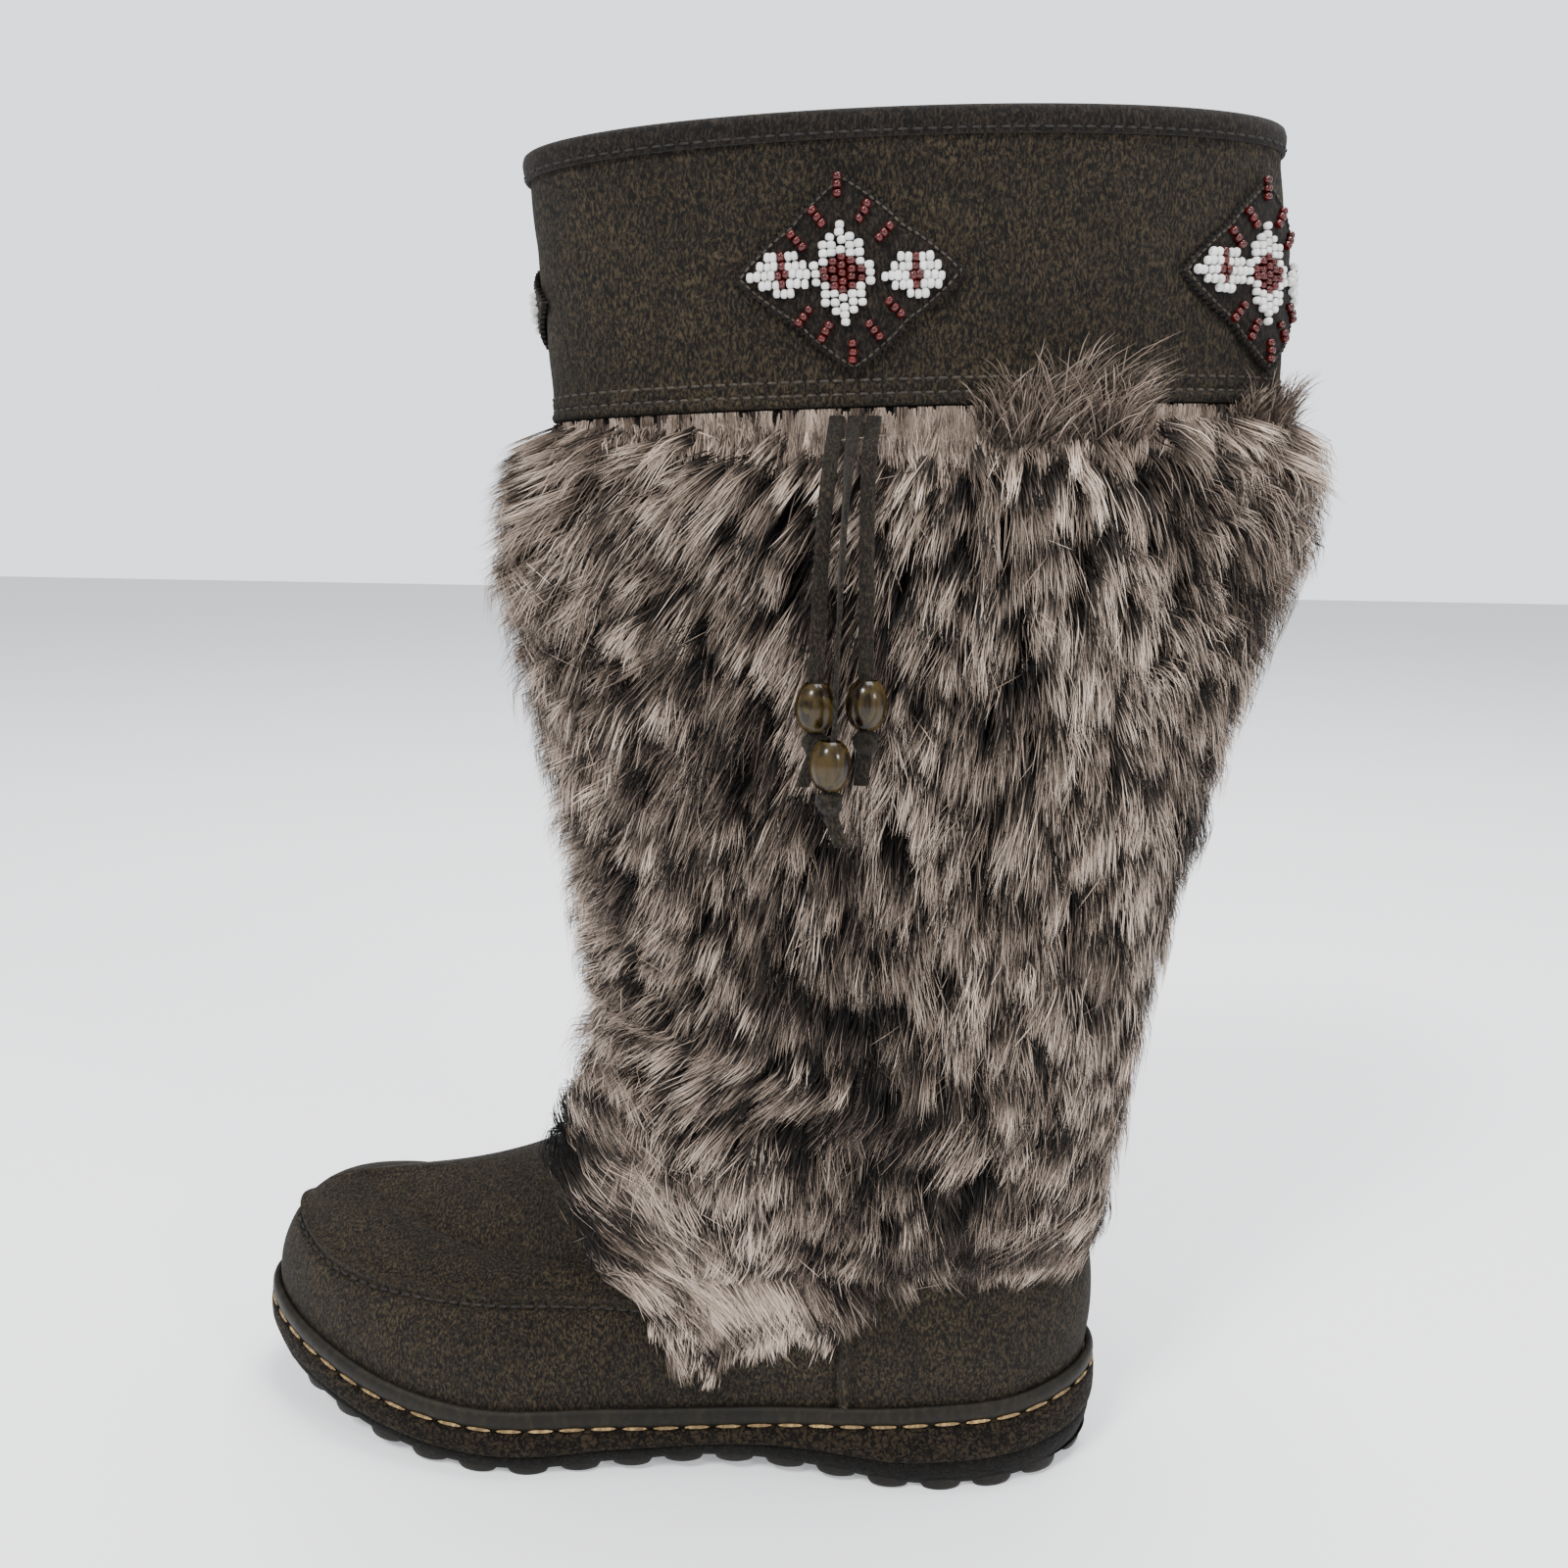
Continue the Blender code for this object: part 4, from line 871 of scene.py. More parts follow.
# Beadwork
# Opaque white and dark red glass seed beads, sewn to each patch on waxed thread: a lozenge of
# upright strands, an oval of short rows on each side of it, and ten rays of three red beads.
BEAD = (0.00125, 0.00105)
COLUMN_PITCH = 0.00236
BEAD_PITCH = 0.00204
ROW_PITCH = 0.00228
ROW_BEAD_PITCH = 0.00186
RAY_PITCH = 0.0021
LOZENGE = ((3, 0), (8, 2), (10, 4), (13, 5), (10, 4), (8, 2), (3, 0))
OVAL = ((5, 1, 0), (7, 2, 0), (9, 3, -0.5), (7, 2, 0), (3, 0, 0))
RAYS = ((-1.5, 22.0, 0), (-7.4, 14.1, 0.62), (-12.9, 8.6, 0.62), (4.7, 15.2, -0.62),
        (9.6, 9.9, -0.72), (-12.6, -10.4, -0.72), (-7.2, -14.6, -0.55), (-0.4, -19.8, 0),
        (5.6, -14.5, 0.55), (11.2, -8.8, 0.75))


def new_glaze(name, dark, light, roughness):
    """Glass: colour that differs from bead to bead, under a clear gloss."""
    made = bpy.data.materials.new(name)
    made.use_nodes = True
    tree = made.node_tree
    shader = tree.nodes["Principled BSDF"]
    for label, value in (("Coat Weight", 0.3), ("Coat Roughness", 0.08),
                         ("Specular IOR Level", 0.3)):
        shader.inputs[label].default_value = value
    where = add_node(tree, "ShaderNodeTexCoord").outputs["Object"]
    cells = add_node(tree, "ShaderNodeTexVoronoi", {"Vector": where, "Scale": 330.0})
    cloud = add_node(tree, "ShaderNodeTexNoise", {"Vector": where, "Scale": 900.0, "Detail": 3.0})
    tone = maths(tree, "MULTIPLY_ADD", cells.outputs["Color"], 0.6,
                 maths(tree, "MULTIPLY", cloud.outputs[0], 0.4))
    tree.links.new(blended(tree, tone, (*dark, 1), (*light, 1)), shader.inputs["Base Color"])
    dull = maths(tree, "MULTIPLY_ADD", cloud.outputs[0], 0.15, roughness)
    tree.links.new(dull, shader.inputs["Roughness"])
    return made


white_glass = new_glaze("white seed beads", (0.44, 0.43, 0.41), (0.82, 0.81, 0.79), 0.16)
red_glass = new_glaze("dark red seed beads", (0.022, 0.0010, 0.0008), (0.085, 0.0042, 0.0030), 0.14)

# One patch's beads, each with its place from the patch's middle, its turn and whether it is red.
# A column or row is given by its number of beads, the red ones at its middle and its shift.
beads = []
for column, (count, reds) in enumerate(LOZENGE):
    for k in range(count):
        up = (count - 1) / 2 - k
        beads.append((-0.0019 + (column - 3) * COLUMN_PITCH, up * BEAD_PITCH, math.pi / 2,
                      abs(up) < reds / 2))
for oval_x, oval_y in ((-0.0175, 0.0002), (0.0172, -0.0010)):
    for row, (count, reds, shift) in enumerate(OVAL):
        for k in range(count):
            spot = k - (count - 1) / 2 + shift
            beads.append((oval_x + spot * ROW_BEAD_PITCH, oval_y + (2 - row) * ROW_PITCH, 0.0,
                          abs(spot) < reds / 2))
for x, y, lean in RAYS:
    for k in (-RAY_PITCH, 0, RAY_PITCH):
        beads.append((x / 1000 + math.sin(lean) * k, y / 1000 - math.cos(lean) * k,
                      math.pi / 2 + lean, True))
beads = np.array(beads, float)
count = len(beads)
bead_rng = np.random.default_rng(21)
for name, centre in patch_centres.items():
    place = beads[:, :2] + bead_rng.normal(0, 0.00013, (count, 2))
    arc, up = centre - place[:, 0], place[:, 1]
    tilt = (beads[:, 2] + bead_rng.normal(0, 0.10, count))[:, None]
    out = patch_high + BEAD[0] * 0.72 + bead_rng.uniform(0, 0.0003, count)
    origins = on_collar(arc, up, out)
    around = unit(on_collar(arc - 0.001, up, out) - origins)
    normal = unit(on_collar(arc, up, out + 0.001) - origins)
    axis = around * np.cos(tilt) + np.cross(normal, around) * np.sin(tilt)
    axis = unit(axis + normal * bead_rng.normal(0, 0.06, count)[:, None])
    across = unit(np.cross(axis, normal))
    size = bead_rng.normal(1, 0.035, count)[:, None]
    axes = np.stack([across * BEAD[0] * size, np.cross(axis, across) * BEAD[0] * size,
                     axis * BEAD[1] * size], 1)
    mesh = bmesh.new()
    bmesh.ops.create_uvsphere(mesh, u_segments=10, v_segments=7, radius=1.0)
    for vert in mesh.verts:
        wide = math.hypot(vert.co.x, vert.co.y)
        if wide < 0.01:
            vert.co.z *= 0.55
        else:
            full = (1 - abs(vert.co.z) ** 3.2) ** 0.5 if abs(vert.co.z) < 0.9 else 0.55
            vert.co.x, vert.co.y = vert.co.x / wide * full, vert.co.y / wide * full
    faces = len(mesh.faces)
    data = strewn("beadwork_" + name, mesh, origins, axes)
    data.polygons.foreach_set("material_index", np.repeat(beads[:, 3].astype(np.int32), faces))
    nodes = ["beads_" + name + part for part in ("_lozenge", "_oval_rear", "_oval_fore")]
    add_data("beadwork_" + name, data, [white_glass, red_glass], nodes, 0)


# Pelt
# A long-haired pelt wrapped round the shaft, sewn in under the collar. The hide with its dense
# dark undercoat is one piece; the guard hair grows out of it in locks that are combed down.
PELT_FRONT = 0.0270
PELT_SIDE = 0.0150
PELT_BACK = 0.0190
PELT_HEM = 0.0012
UNDERCOAT_SHARE = 0.36
HIDE_THICKNESS = 0.0020
SKIN_STEP = 0.001
SKIN_LENGTH = 0.330
FLOW_BLUR = 12
FRINGE_POINT = 1.45

fringe_level = curve_through(
    [0, 0.10, 0.18, 0.24, 0.30, 0.38, 0.44, 0.49, 0.55, 0.62, 0.72, 0.85, 1],
    [0.84, 1.04, 0.98, 0.76, 0.62, 0.48, 0.32, 0.55, 0.96, 1.15, 1.34, 1.56, 1.66])
depth_shares = [0, 0.03, 0.08, 0.16, 0.30, 0.50, 0.78, 0.93, 1]
front_depth = curve_through(depth_shares, [0, 0.85, 1.20, 1.18, 1.02, 0.98, 0.90, 0.66, 0.20])
side_depth = curve_through(depth_shares, [0, 0.25, 0.60, 0.90, 1, 1, 0.78, 0.50, 0.25])
back_depth = curve_through(depth_shares, [0, 0.90, 1.34, 1.26, 0.98, 0.88, 0.80, 0.52, 0.20])


def pelt_depth(angle, down):
    """How far the hair stands out at a share of the way from the collar to the fringe."""
    front = np.maximum(0, -np.cos(angle)) ** 2
    back = np.maximum(0, np.cos(angle)) ** 2
    return (PELT_HEM + front * PELT_FRONT * front_depth(down) + back * PELT_BACK * back_depth(down)
            + (1 - front - back) * PELT_SIDE * side_depth(down))


def dot(one, other):
    return (one * other).sum(-1)


# A map of the skin under the pelt, by angle and by the way down from the collar along the skin
skin_angles = np.linspace(0, ROUND, 361)
turn_step = skin_angles[1]
levels = np.linspace(collar_level(COLLAR_HEIGHT + GAP), 0.26, 420)
turn, level = np.meshgrid(skin_angles, levels, indexing="ij")
gone_down = np.array([way_along(line) for line in body_point(turn, level)])
fringe = np.array([np.interp(fringe_level(share_of(angle)), levels[::-1], down[::-1])
                   for angle, down in zip(skin_angles, gone_down)])
skin_downs = np.arange(0, SKIN_LENGTH, SKIN_STEP)
level = np.array([np.interp(skin_downs, down, levels) for down in gone_down])
turn = np.repeat(skin_angles[:, None], len(skin_downs), 1)
skin, normals = body_point(turn, level), body_normal(turn, level)
around = np.gradient(skin, turn_step, axis=0)
downward = np.gradient(skin, SKIN_STEP, axis=1)
speed = np.linalg.norm(around, axis=-1)
opening = np.linalg.norm(np.gradient(normals, turn_step, axis=0), axis=-1)

# Hair falls straight down, not along the lines of one angle, which slant over the instep
fall = unit(normals[..., 2:3] * normals - UP)
round_round, down_down = dot(around, around), dot(downward, downward)
round_down = dot(around, downward)
area = round_round * down_down - round_down * round_down
flow = []
for wish in (fall, np.cross(fall, normals)):
    to_round, to_down = dot(wish, around), dot(wish, downward)
    for part in ((round_round * to_down - round_down * to_round) / area,
                 (down_down * to_round - round_down * to_down) / area):
        padded = np.pad(part, ((0, 0), (FLOW_BLUR, FLOW_BLUR)), mode="edge")
        summed = np.cumsum(padded, axis=1)
        flow.append((summed[:, 2 * FLOW_BLUR:] - summed[:, :-2 * FLOW_BLUR]) / (2 * FLOW_BLUR))
skin_map = np.concatenate([skin, normals, np.stack([speed, opening, *flow], -1)], -1)


def on_skin(angle, down):
    """By angle and way down: the skin's place and normal, its arc per angle and how that grows
    with depth, and how far a hair's way along the skin goes down and round, for hair that falls
    and for hair laid sideways."""
    i = (angle % ROUND) / turn_step
    j = np.clip(down / SKIN_STEP, 0, len(skin_downs) - 1.001)
    i0, j0 = np.minimum(i.astype(int), len(skin_angles) - 2), j.astype(int)
    fi, fj = (i - i0)[..., None], (j - j0)[..., None]
    low = mix(skin_map[i0, j0], skin_map[i0 + 1, j0], fi)
    high = mix(skin_map[i0, j0 + 1], skin_map[i0 + 1, j0 + 1], fi)
    return mix(low, high, fj)


def fringe_at(angle):
    return np.interp(angle % ROUND, skin_angles, fringe)


hide_angles = skin_angles[::2]
hide_ends = fringe_at(hide_angles)
shares = np.concatenate([[0, 0.015], np.linspace(0.03, 0.94, 40)])
rows = []
for share in shares:
    found = on_skin(hide_angles, hide_ends * share)
    near_hem = rising(hide_ends * share, 0, 0.016) ** 1.5
    thick = pelt_depth(hide_angles, share) * UNDERCOAT_SHARE * near_hem
    rows.append(found[:, :3] + found[:, 3:6] * np.maximum(thick, HIDE_THICKNESS)[:, None])
for share in shares[::-3]:
    found = on_skin(hide_angles, hide_ends * share)
    rows.append(found[:, :3] + found[:, 3:6] * PELT_HEM)
undercoat = new_finish("dark undercoat", nap,
                       {"Fibre": 0.0025, "Dark": (0.0030, 0.0025, 0.0022),
                        "Light": (0.017, 0.0140, 0.0120), "Patches": 0.5},
                       1.0, 0.002, Roughness=1.0, Specular_IOR_Level=0.1)
add_piece("pelt_hide", lofted(rows + rows[:1]), [undercoat], ["pelt"], 0)

# Hair: its colour runs from a near-black root to a pale tip, by the strand's own UV map: across
# is the strand's shade, and up is the way from root to tip
hair = bpy.data.materials.new("grey brown hair")
hair.use_nodes = True
tree = hair.node_tree
shader = tree.nodes["Principled BSDF"]
shader.inputs["Roughness"].default_value = 0.55
shader.inputs["Specular IOR Level"].default_value = 0.12


def colours_along(tree, value, stops):
    """A colour for each place on the way from 0 to 1, blended between stops."""
    node = add_node(tree, "ShaderNodeValToRGB", {0: value})
    bands = node.color_ramp.elements
    for position, colour in stops[1:-1]:
        bands.new(position)
    for band, (position, colour) in zip(bands, stops):
        band.position = position
        band.color = (*colour, 1)
    return node.outputs[0]


strand = add_node(tree, "ShaderNodeUVMap", uv_map="strand")
strand = add_node(tree, "ShaderNodeSeparateXYZ", {0: strand.outputs[0]})
root_to_tip = colours_along(tree, strand.outputs[1], (
    (0.0, (0.0035, 0.0030, 0.0027)), (0.48, (0.0070, 0.0058, 0.0050)),
    (0.62, (0.028, 0.0230, 0.0195)), (0.78, (0.370, 0.298, 0.245)), (1.0, (1.0, 0.88, 0.76))))
dark_to_pale = colours_along(tree, strand.outputs[0], (
    (0, (0.04, 0.036, 0.034)), (0.5, (0.60, 0.55, 0.51)), (1, (1.60, 1.54, 1.48))))
tree.links.new(blended(tree, 1.0, root_to_tip, dark_to_pale, "MULTIPLY"),
               shader.inputs["Base Color"])

STRAND_ROWS = np.array([0, 0.25, 0.5, 0.75, 1.0])
STRAND_TAPER = np.array([1.0, 1.0, 0.85, 0.58, 0.0])
STRAND_WIDTH = 0.00034
STRAND_POINTS = 9
STRAY_SHARE = 0.025
LEAST_OUT = 0.0012


def grow(clumps, strands, seed, root=0.0008):
    """Strands in clumps, each with its angle, way down, length, lean, lift, shade, spread and
    pinch. Returns their middles and normals, their shades and the random numbers' source."""
    draw = np.random.default_rng(seed)
    angle, down, length, lean, lift, shade, spread, pinch = (
        np.repeat(column, strands)[:, None] for column in clumps.T)
    each = (len(angle), 1)
    radius = np.sqrt(draw.uniform(0, 1, each)) * spread
    bearing = draw.uniform(0, ROUND, each)
    aside, ahead = radius * np.cos(bearing), radius * np.sin(bearing)
    stray = draw.uniform(0, 1, each) < STRAY_SHARE
    length = length * draw.uniform(0.86, 1.06, each)
    layer = lift * (1 - 0.50 * draw.uniform(0, 1, each) ** 2)
    lean = lean + draw.normal(0, 0.07, each) + np.where(stray, draw.normal(0, 0.40, each), 0)
    pinch = np.where(stray, 0.1, pinch * draw.uniform(0.8, 1.05, each))
    t = STRAND_ROWS[None, :]
    wave = np.sin(draw.uniform(0, ROUND, each) + t * 5) * 0.0006 * t

    # The angles of each strand's five points, and where the fringe ends it
    rooted = on_skin(angle[:, 0], np.clip(down[:, 0], 0, SKIN_LENGTH))
    arc = np.maximum(rooted[:, 6:7] + 0.012 * rooted[:, 7:8], 0.02)
    to_down = rooted[:, 8:9] * np.cos(lean) + rooted[:, 10:11] * np.sin(lean)
    to_round = rooted[:, 9:10] * np.cos(lean) + rooted[:, 11:12] * np.sin(lean)
    turned = angle + (aside * (1 - pinch * t ** 1.2) + wave) / arc + to_round * length * t ** 1.1
    end = fringe_at(turned[:, -1:])
    stop = end + draw.uniform(-0.003, 0.003, each)
    stop = stop + np.repeat(draw.uniform(-0.010, 0.006, len(clumps)), strands)[:, None]
    at = down + ahead * 0.8
    way = length * np.maximum(to_down, 0.2)
    limit = np.where(at + way > stop, np.clip((stop - at) / way, 0.25, 1), 1.0)
    turned = mix(turned[:, :1], turned, limit)

    # Step by step it stands out towards the pelt's surface and goes on down with what is left
    step = length * limit / 4
    ways, outs = [np.maximum(at, 0.0)], [np.full(each, root)]
    for k in range(1, 5):
        share = np.clip((ways[-1] + step * 0.7) / end, 0, 1)
        rise = 1 - (1 - STRAND_ROWS[k]) ** 2.4
        out = pelt_depth(turned[:, k:k + 1], share) * layer * rise
        change = np.clip(np.maximum(out, max(root, LEAST_OUT)) - outs[-1], -step, step * 0.94)
        onward = np.sqrt(np.maximum(step ** 2 - change ** 2, (step / 4) ** 2))
        ways.append(ways[-1] + onward * to_down)
        outs.append(outs[-1] + change)
    found = on_skin(turned, np.hstack(ways))
    normal = found[..., 3:6]
    return found[..., :3] + normal * np.hstack(outs)[..., None], normal, shade[:, 0], draw


def add_hair(name, centre, normal, shade, draw, low=0.0, high=1.0):
    """Makes the strands a piece: tapering ribbons along their middles, each rolled its own way.
    Their colours run from low to high along the way from root to tip."""
    count = len(centre)
    along = unit(np.gradient(centre, axis=1) + 1e-9)
    side = unit(np.cross(along, normal))
    roll = draw.uniform(-0.85, 0.85, (count, 1, 1))
    wide = side * np.cos(roll) + np.cross(side, along) * np.sin(roll)
    wide = wide * STRAND_TAPER[None, :, None] * STRAND_WIDTH / 2
    wide = wide * draw.uniform(0.7, 1.25, roll.shape)
    pairs = np.stack([centre - wide, centre + wide], 2).reshape(count, 10, 3)
    mesh = bmesh.new()
    bmesh.ops.create_grid(mesh, x_segments=1, y_segments=4, size=1.0)
    mesh.verts.ensure_lookup_table()
    bmesh.ops.pointmerge(mesh, verts=mesh.verts[STRAND_POINTS - 1:], merge_co=(0, 1, 0))
    data = copied(mesh, count)
    data.name = name
    set_places(data, pairs[:, :STRAND_POINTS])
    corners = np.empty(len(data.loops), np.int32)
    data.loops.foreach_get("vertex_index", corners)
    owner, point = corners // STRAND_POINTS, corners % STRAND_POINTS
    tip = high * (1 - 0.22 * draw.uniform(0, 1, count) ** 1.4)
    way = mix(np.broadcast_to(low, count)[owner], tip[owner], np.repeat(STRAND_ROWS, 2)[point])
    spots = np.stack([shade[owner], way], -1).astype(np.float32)
    for label in ("strand", "OFBake"):
        layer = data.uv_layers.new(name=label)
        layer.uv.foreach_set("vector", spots.ravel())
    data.uv_layers.active = data.uv_layers["strand"]
    data.uv_layers["strand"].active_render = True
    return add_data(name, data, [hair], ["pelt"], 0)


def swirl_at(angle, down, draw):
    """Slow waves over the pelt, from -1 to 1, drawn anew at each call."""
    waves = draw.uniform((1, 15, 0), (5, 45, ROUND), (7, 3))
    return sum(np.sin(np.round(a) * angle + b * down + c) for a, b, c in waves) / len(waves)


def set_along(arc, pitch):
    """Angles a pitch apart along a row round the skin, each moved at random within its pitch."""
    count = int(arc[-1] / pitch)
    spots = (np.arange(count) + hair_rng.uniform(0, 1, count)) / count
    return np.interp(spots * arc[-1], arc, skin_angles)


# The guard hair: rows of clumps from the collar down to the fringe
CLUMP_ROWS = 0.0066
CLUMP_PITCH = 0.0048
HAIR_LENGTH = 0.031
STRANDS = 46
STRANDS_IN_A_PIECE = 27500
COLLAR_REACH = 0.024
FRINGE_SHARE = 0.72

hair_rng = np.random.default_rng(5)
clumps = []
for row_down in np.arange(0.001, fringe.max() - 0.006, CLUMP_ROWS):
    found = on_skin(skin_angles, np.full(len(skin_angles), row_down))
    pace = found[:, 6] + 0.014 * found[:, 7]
    arc = np.concatenate([[0], np.cumsum((pace[1:] + pace[:-1]) / 2 * turn_step)])
    angle = set_along(arc, CLUMP_PITCH)
    down = row_down + hair_rng.uniform(-0.0042, 0.0042, len(angle))
    kept = (down < fringe_at(angle) - 0.008) & (down > 0.005 - 0.004 * np.cos(angle) ** 2)
    clumps.append(np.stack([angle[kept], down[kept]], -1))
angle, down = np.concatenate(clumps).T
count = len(angle)
sway = swirl_at(angle, down, hair_rng)
tone = swirl_at(angle, down, hair_rng) + swirl_at(angle * 3, down * 3, hair_rng)
near_collar = falling(down, COLLAR_REACH, COLLAR_REACH)
share = down / fringe_at(angle)
to_fringe = rising(share, FRINGE_SHARE, 0.2)
to_point = (FRINGE_POINT - np.arccos(np.cos(angle))) * np.sign(np.sin(angle))
fan = 0.42 - 0.26 * rising(share, 0, 0.6)
lean = mix(0.18 * np.sin(angle) - fan * np.sin(2 * angle), 0.45 * to_point, to_fringe)
length = np.clip(hair_rng.normal(HAIR_LENGTH, 0.005, count), 0.018, 0.044)
clumps = np.stack([
    angle, down, length * (1 - 0.42 * near_collar),
    lean + 0.38 * sway + hair_rng.normal(0, 0.12, count),
    hair_rng.uniform(0.70, 1.08, count),
    np.clip(0.53 + 0.60 * tone + hair_rng.normal(0, 0.24, count), 0, 1),
    hair_rng.uniform(0.0028, 0.0046, count),
    hair_rng.uniform(0.78, 1.0, count), near_collar * 0.60], -1)
quarter = np.floor(((angle + math.pi / 4) % ROUND) / (math.pi / 2)).astype(int)
for k, side in enumerate(quarters):
    own = clumps[quarter == k]
    parts = math.ceil(len(own) * STRANDS / STRANDS_IN_A_PIECE)
    for part in range(parts):
        chosen = own[part::parts]
        centre, normal, shade, draw = grow(chosen[:, :8], STRANDS, 100 + k * 10 + part)
        shade = np.clip(shade + draw.normal(0, 0.17, len(shade)), 0, 1)
        label = "hair_" + side + ("" if parts == 1 else "_" + "abc"[part])
        add_hair(label, centre, normal, shade, draw, np.repeat(chosen[:, 8], STRANDS))

# The short taupe pile under the collar's hem
PILE_ROWS = 0.0016
PILE_PITCH = 0.0030
PILE_STRANDS = 22
PILE_ROOT = 0.0024

pile = []
for row_down in np.arange(0.0, 0.0085, PILE_ROWS):
    found = on_skin(skin_angles, np.full(len(skin_angles), row_down))
    arc = np.concatenate([[0], np.cumsum(found[1:, 6] * turn_step)])
    angle = set_along(arc, PILE_PITCH)
    pile.append(np.stack([angle, row_down + hair_rng.uniform(-0.0005, 0.0005, len(angle))], -1))
angle, down = np.concatenate(pile).T
count = len(angle)
pile = np.stack([angle, down, hair_rng.uniform(0.007, 0.0165, count),
                 hair_rng.normal(0, 0.16, count), hair_rng.uniform(0.25, 0.70, count),
                 np.clip(hair_rng.normal(0.56, 0.26, count), 0, 1),
                 np.full(count, 0.0018), np.full(count, 0.3)], -1)
centre, normal, shade, draw = grow(pile, PILE_STRANDS, 77, PILE_ROOT)
shade = np.clip(shade + draw.normal(0, 0.16, len(shade)), 0, 1)
add_hair("hair_pile", centre, normal, shade, draw, 0.70, 0.82)

# Tufts that stand up over the collar's hem, each group from one angle to another, with its
# number of tufts and their height
TUFT_STRANDS = 22
TUFTS = ((0.98, 1.44, 40, 0.027), (0.0, 0.66, 50, 0.018), (5.6, 6.28, 40, 0.014))

tufts = []
for first, last, count, tall in TUFTS:
    middle = hair_rng.uniform(first, last, count)
    peak = np.sin((middle - first) / (last - first) * math.pi)
    tall = tall * (0.45 + 0.55 * peak) * hair_rng.uniform(0.7, 1.1, count)
    tufts.append(np.stack([middle, tall], -1))
tufts = np.repeat(np.concatenate(tufts), TUFT_STRANDS, axis=0)
draw = np.random.default_rng(31)
count = len(tufts)
each = (count, 1, 1)
angle = tufts[:, 0] + draw.normal(0, 0.016, count)
found = on_skin(angle, draw.uniform(0.002, 0.014, count))[:, None]
normal = found[..., 3:6]
t = STRAND_ROWS[None, :, None]
tall = tufts[:, 1, None, None] * draw.uniform(0.45, 1.1, each)
out = 0.0035 + tall * draw.uniform(0.30, 0.60, each) * t
sway = draw.normal(0, 0.42, count // TUFT_STRANDS)
sway = np.repeat(sway, TUFT_STRANDS)[:, None, None] + draw.normal(0, 0.12, each)
centre = (found[..., :3] + normal * out * np.minimum(t * 4, 1) + UP * tall * (t - 0.25 * t ** 3)
          + unit(np.cross(normal, UP)) * sway * tall * t ** 1.3)
shade = np.clip(draw.normal(0.45, 0.22, count), 0, 1)
add_hair("hair_tufts", centre, np.repeat(normal, 5, axis=1), shade, draw, 0.60, 0.84)


# Tassel
# Three flat suede strips sewn in under the collar, each threaded through an oval horn bead and
# knotted below it, so the bead rests on the knot. They hang in front of the pelt.
STRIP_WIDTH = 0.0040
STRIP_THICKNESS = 0.0012
BEAD_DIAMETER = 0.0112
BEAD_LENGTH = 0.0132
BEAD_BORE = 0.0056
KNOT_WIDTH = 0.0070
KNOT_HEIGHT = 0.0062
ROUTES = {
    "rear": ([(-0.0308, -0.0416, 0.3268), (-0.0312, -0.0500, 0.3150), (-0.0308, -0.0560, 0.2950),
              (-0.0302, -0.0585, 0.2700), (-0.0296, -0.0600, 0.2455)], 0.0, -0.001),
    "fore": ([(-0.0407, -0.0416, 0.3268), (-0.0414, -0.0500, 0.3150), (-0.0424, -0.0560, 0.2950),
              (-0.0430, -0.0585, 0.2700), (-0.0432, -0.0600, 0.2445)], 0.0, -0.003),
    "long": ([(-0.0358, -0.0420, 0.3268), (-0.0362, -0.0515, 0.3150), (-0.0366, -0.0600, 0.2950),
              (-0.0368, -0.0660, 0.2700), (-0.0370, -0.0692, 0.2500),
              (-0.0380, -0.0692, 0.2305)], 1.4, 0.003),
}
ROUTE_SHARES = np.linspace(0, 1, 36)
RING = np.linspace(0, ROUND, 33)
STRIP_SECTION = ((1, 0.6), (1, -0.6), (0.9, -1), (0, -1.05), (-0.9, -1), (-1, -0.6), (-1, 0.6),
                 (-0.9, 1), (0, 1.05), (0.9, 1), (1, 0.6))
KNOT_RINGS = ((0.0, 0.30, 0.28, 0), (0.06, 0.62, 0.50, 0), (0.20, 0.92, 0.78, 0),
              (0.40, 1.0, 0.88, 0), (0.52, 0.90, 0.80, 0), (0.60, 0.98, 0.86, 0),
              (0.80, 0.90, 0.74, 0), (0.95, 0.68, 0.42, 0.05), (1.05, 0.56, 0.20, 0.12),
              (1.4, 0.60, 0.17, 0.35), (1.73, 0.57, 0.17, 0.60), (2.1, 0.57, 0.17, 0.85),
              (2.43, 0.57, 0.17, 1.08), (2.45, 0.50, 0.10, 1.10))

strip_suede = new_finish("olive strip suede", nap,
                         {"Fibre": 0.0006, "Dark": (0.0030, 0.0021, 0.0012),
                          "Light": (0.034, 0.0250, 0.0155), "Patches": 0.4},
                         0.9, 0.0005, Roughness=0.96, Sheen_Weight=0.05, Specular_IOR_Level=0.2)
horn = bpy.data.materials.new("olive horn")
horn.use_nodes = True
tree = horn.node_tree
shader = tree.nodes["Principled BSDF"]
for label, value in (("Coat Weight", 0.22), ("Coat Roughness", 0.03), ("Specular IOR Level", 0.15)):
    shader.inputs[label].default_value = value
where = add_node(tree, "ShaderNodeTexCoord").outputs["Object"]
stretched = add_node(tree, "ShaderNodeMapping", {0: where, "Scale": (1.0, 1.0, 0.45)})
veins = add_node(tree, "ShaderNodeTexNoise",
                 {"Vector": stretched.outputs[0], "Scale": 210.0, "Detail": 4.0,
                  "Distortion": 1.6})
clear = ramp(tree, veins.outputs[0], 0.36, 0.64)
tree.links.new(blended(tree, clear, (0.0045, 0.0021, 0.0005, 1), (0.040, 0.026, 0.0070, 1)),
               shader.inputs["Base Color"])
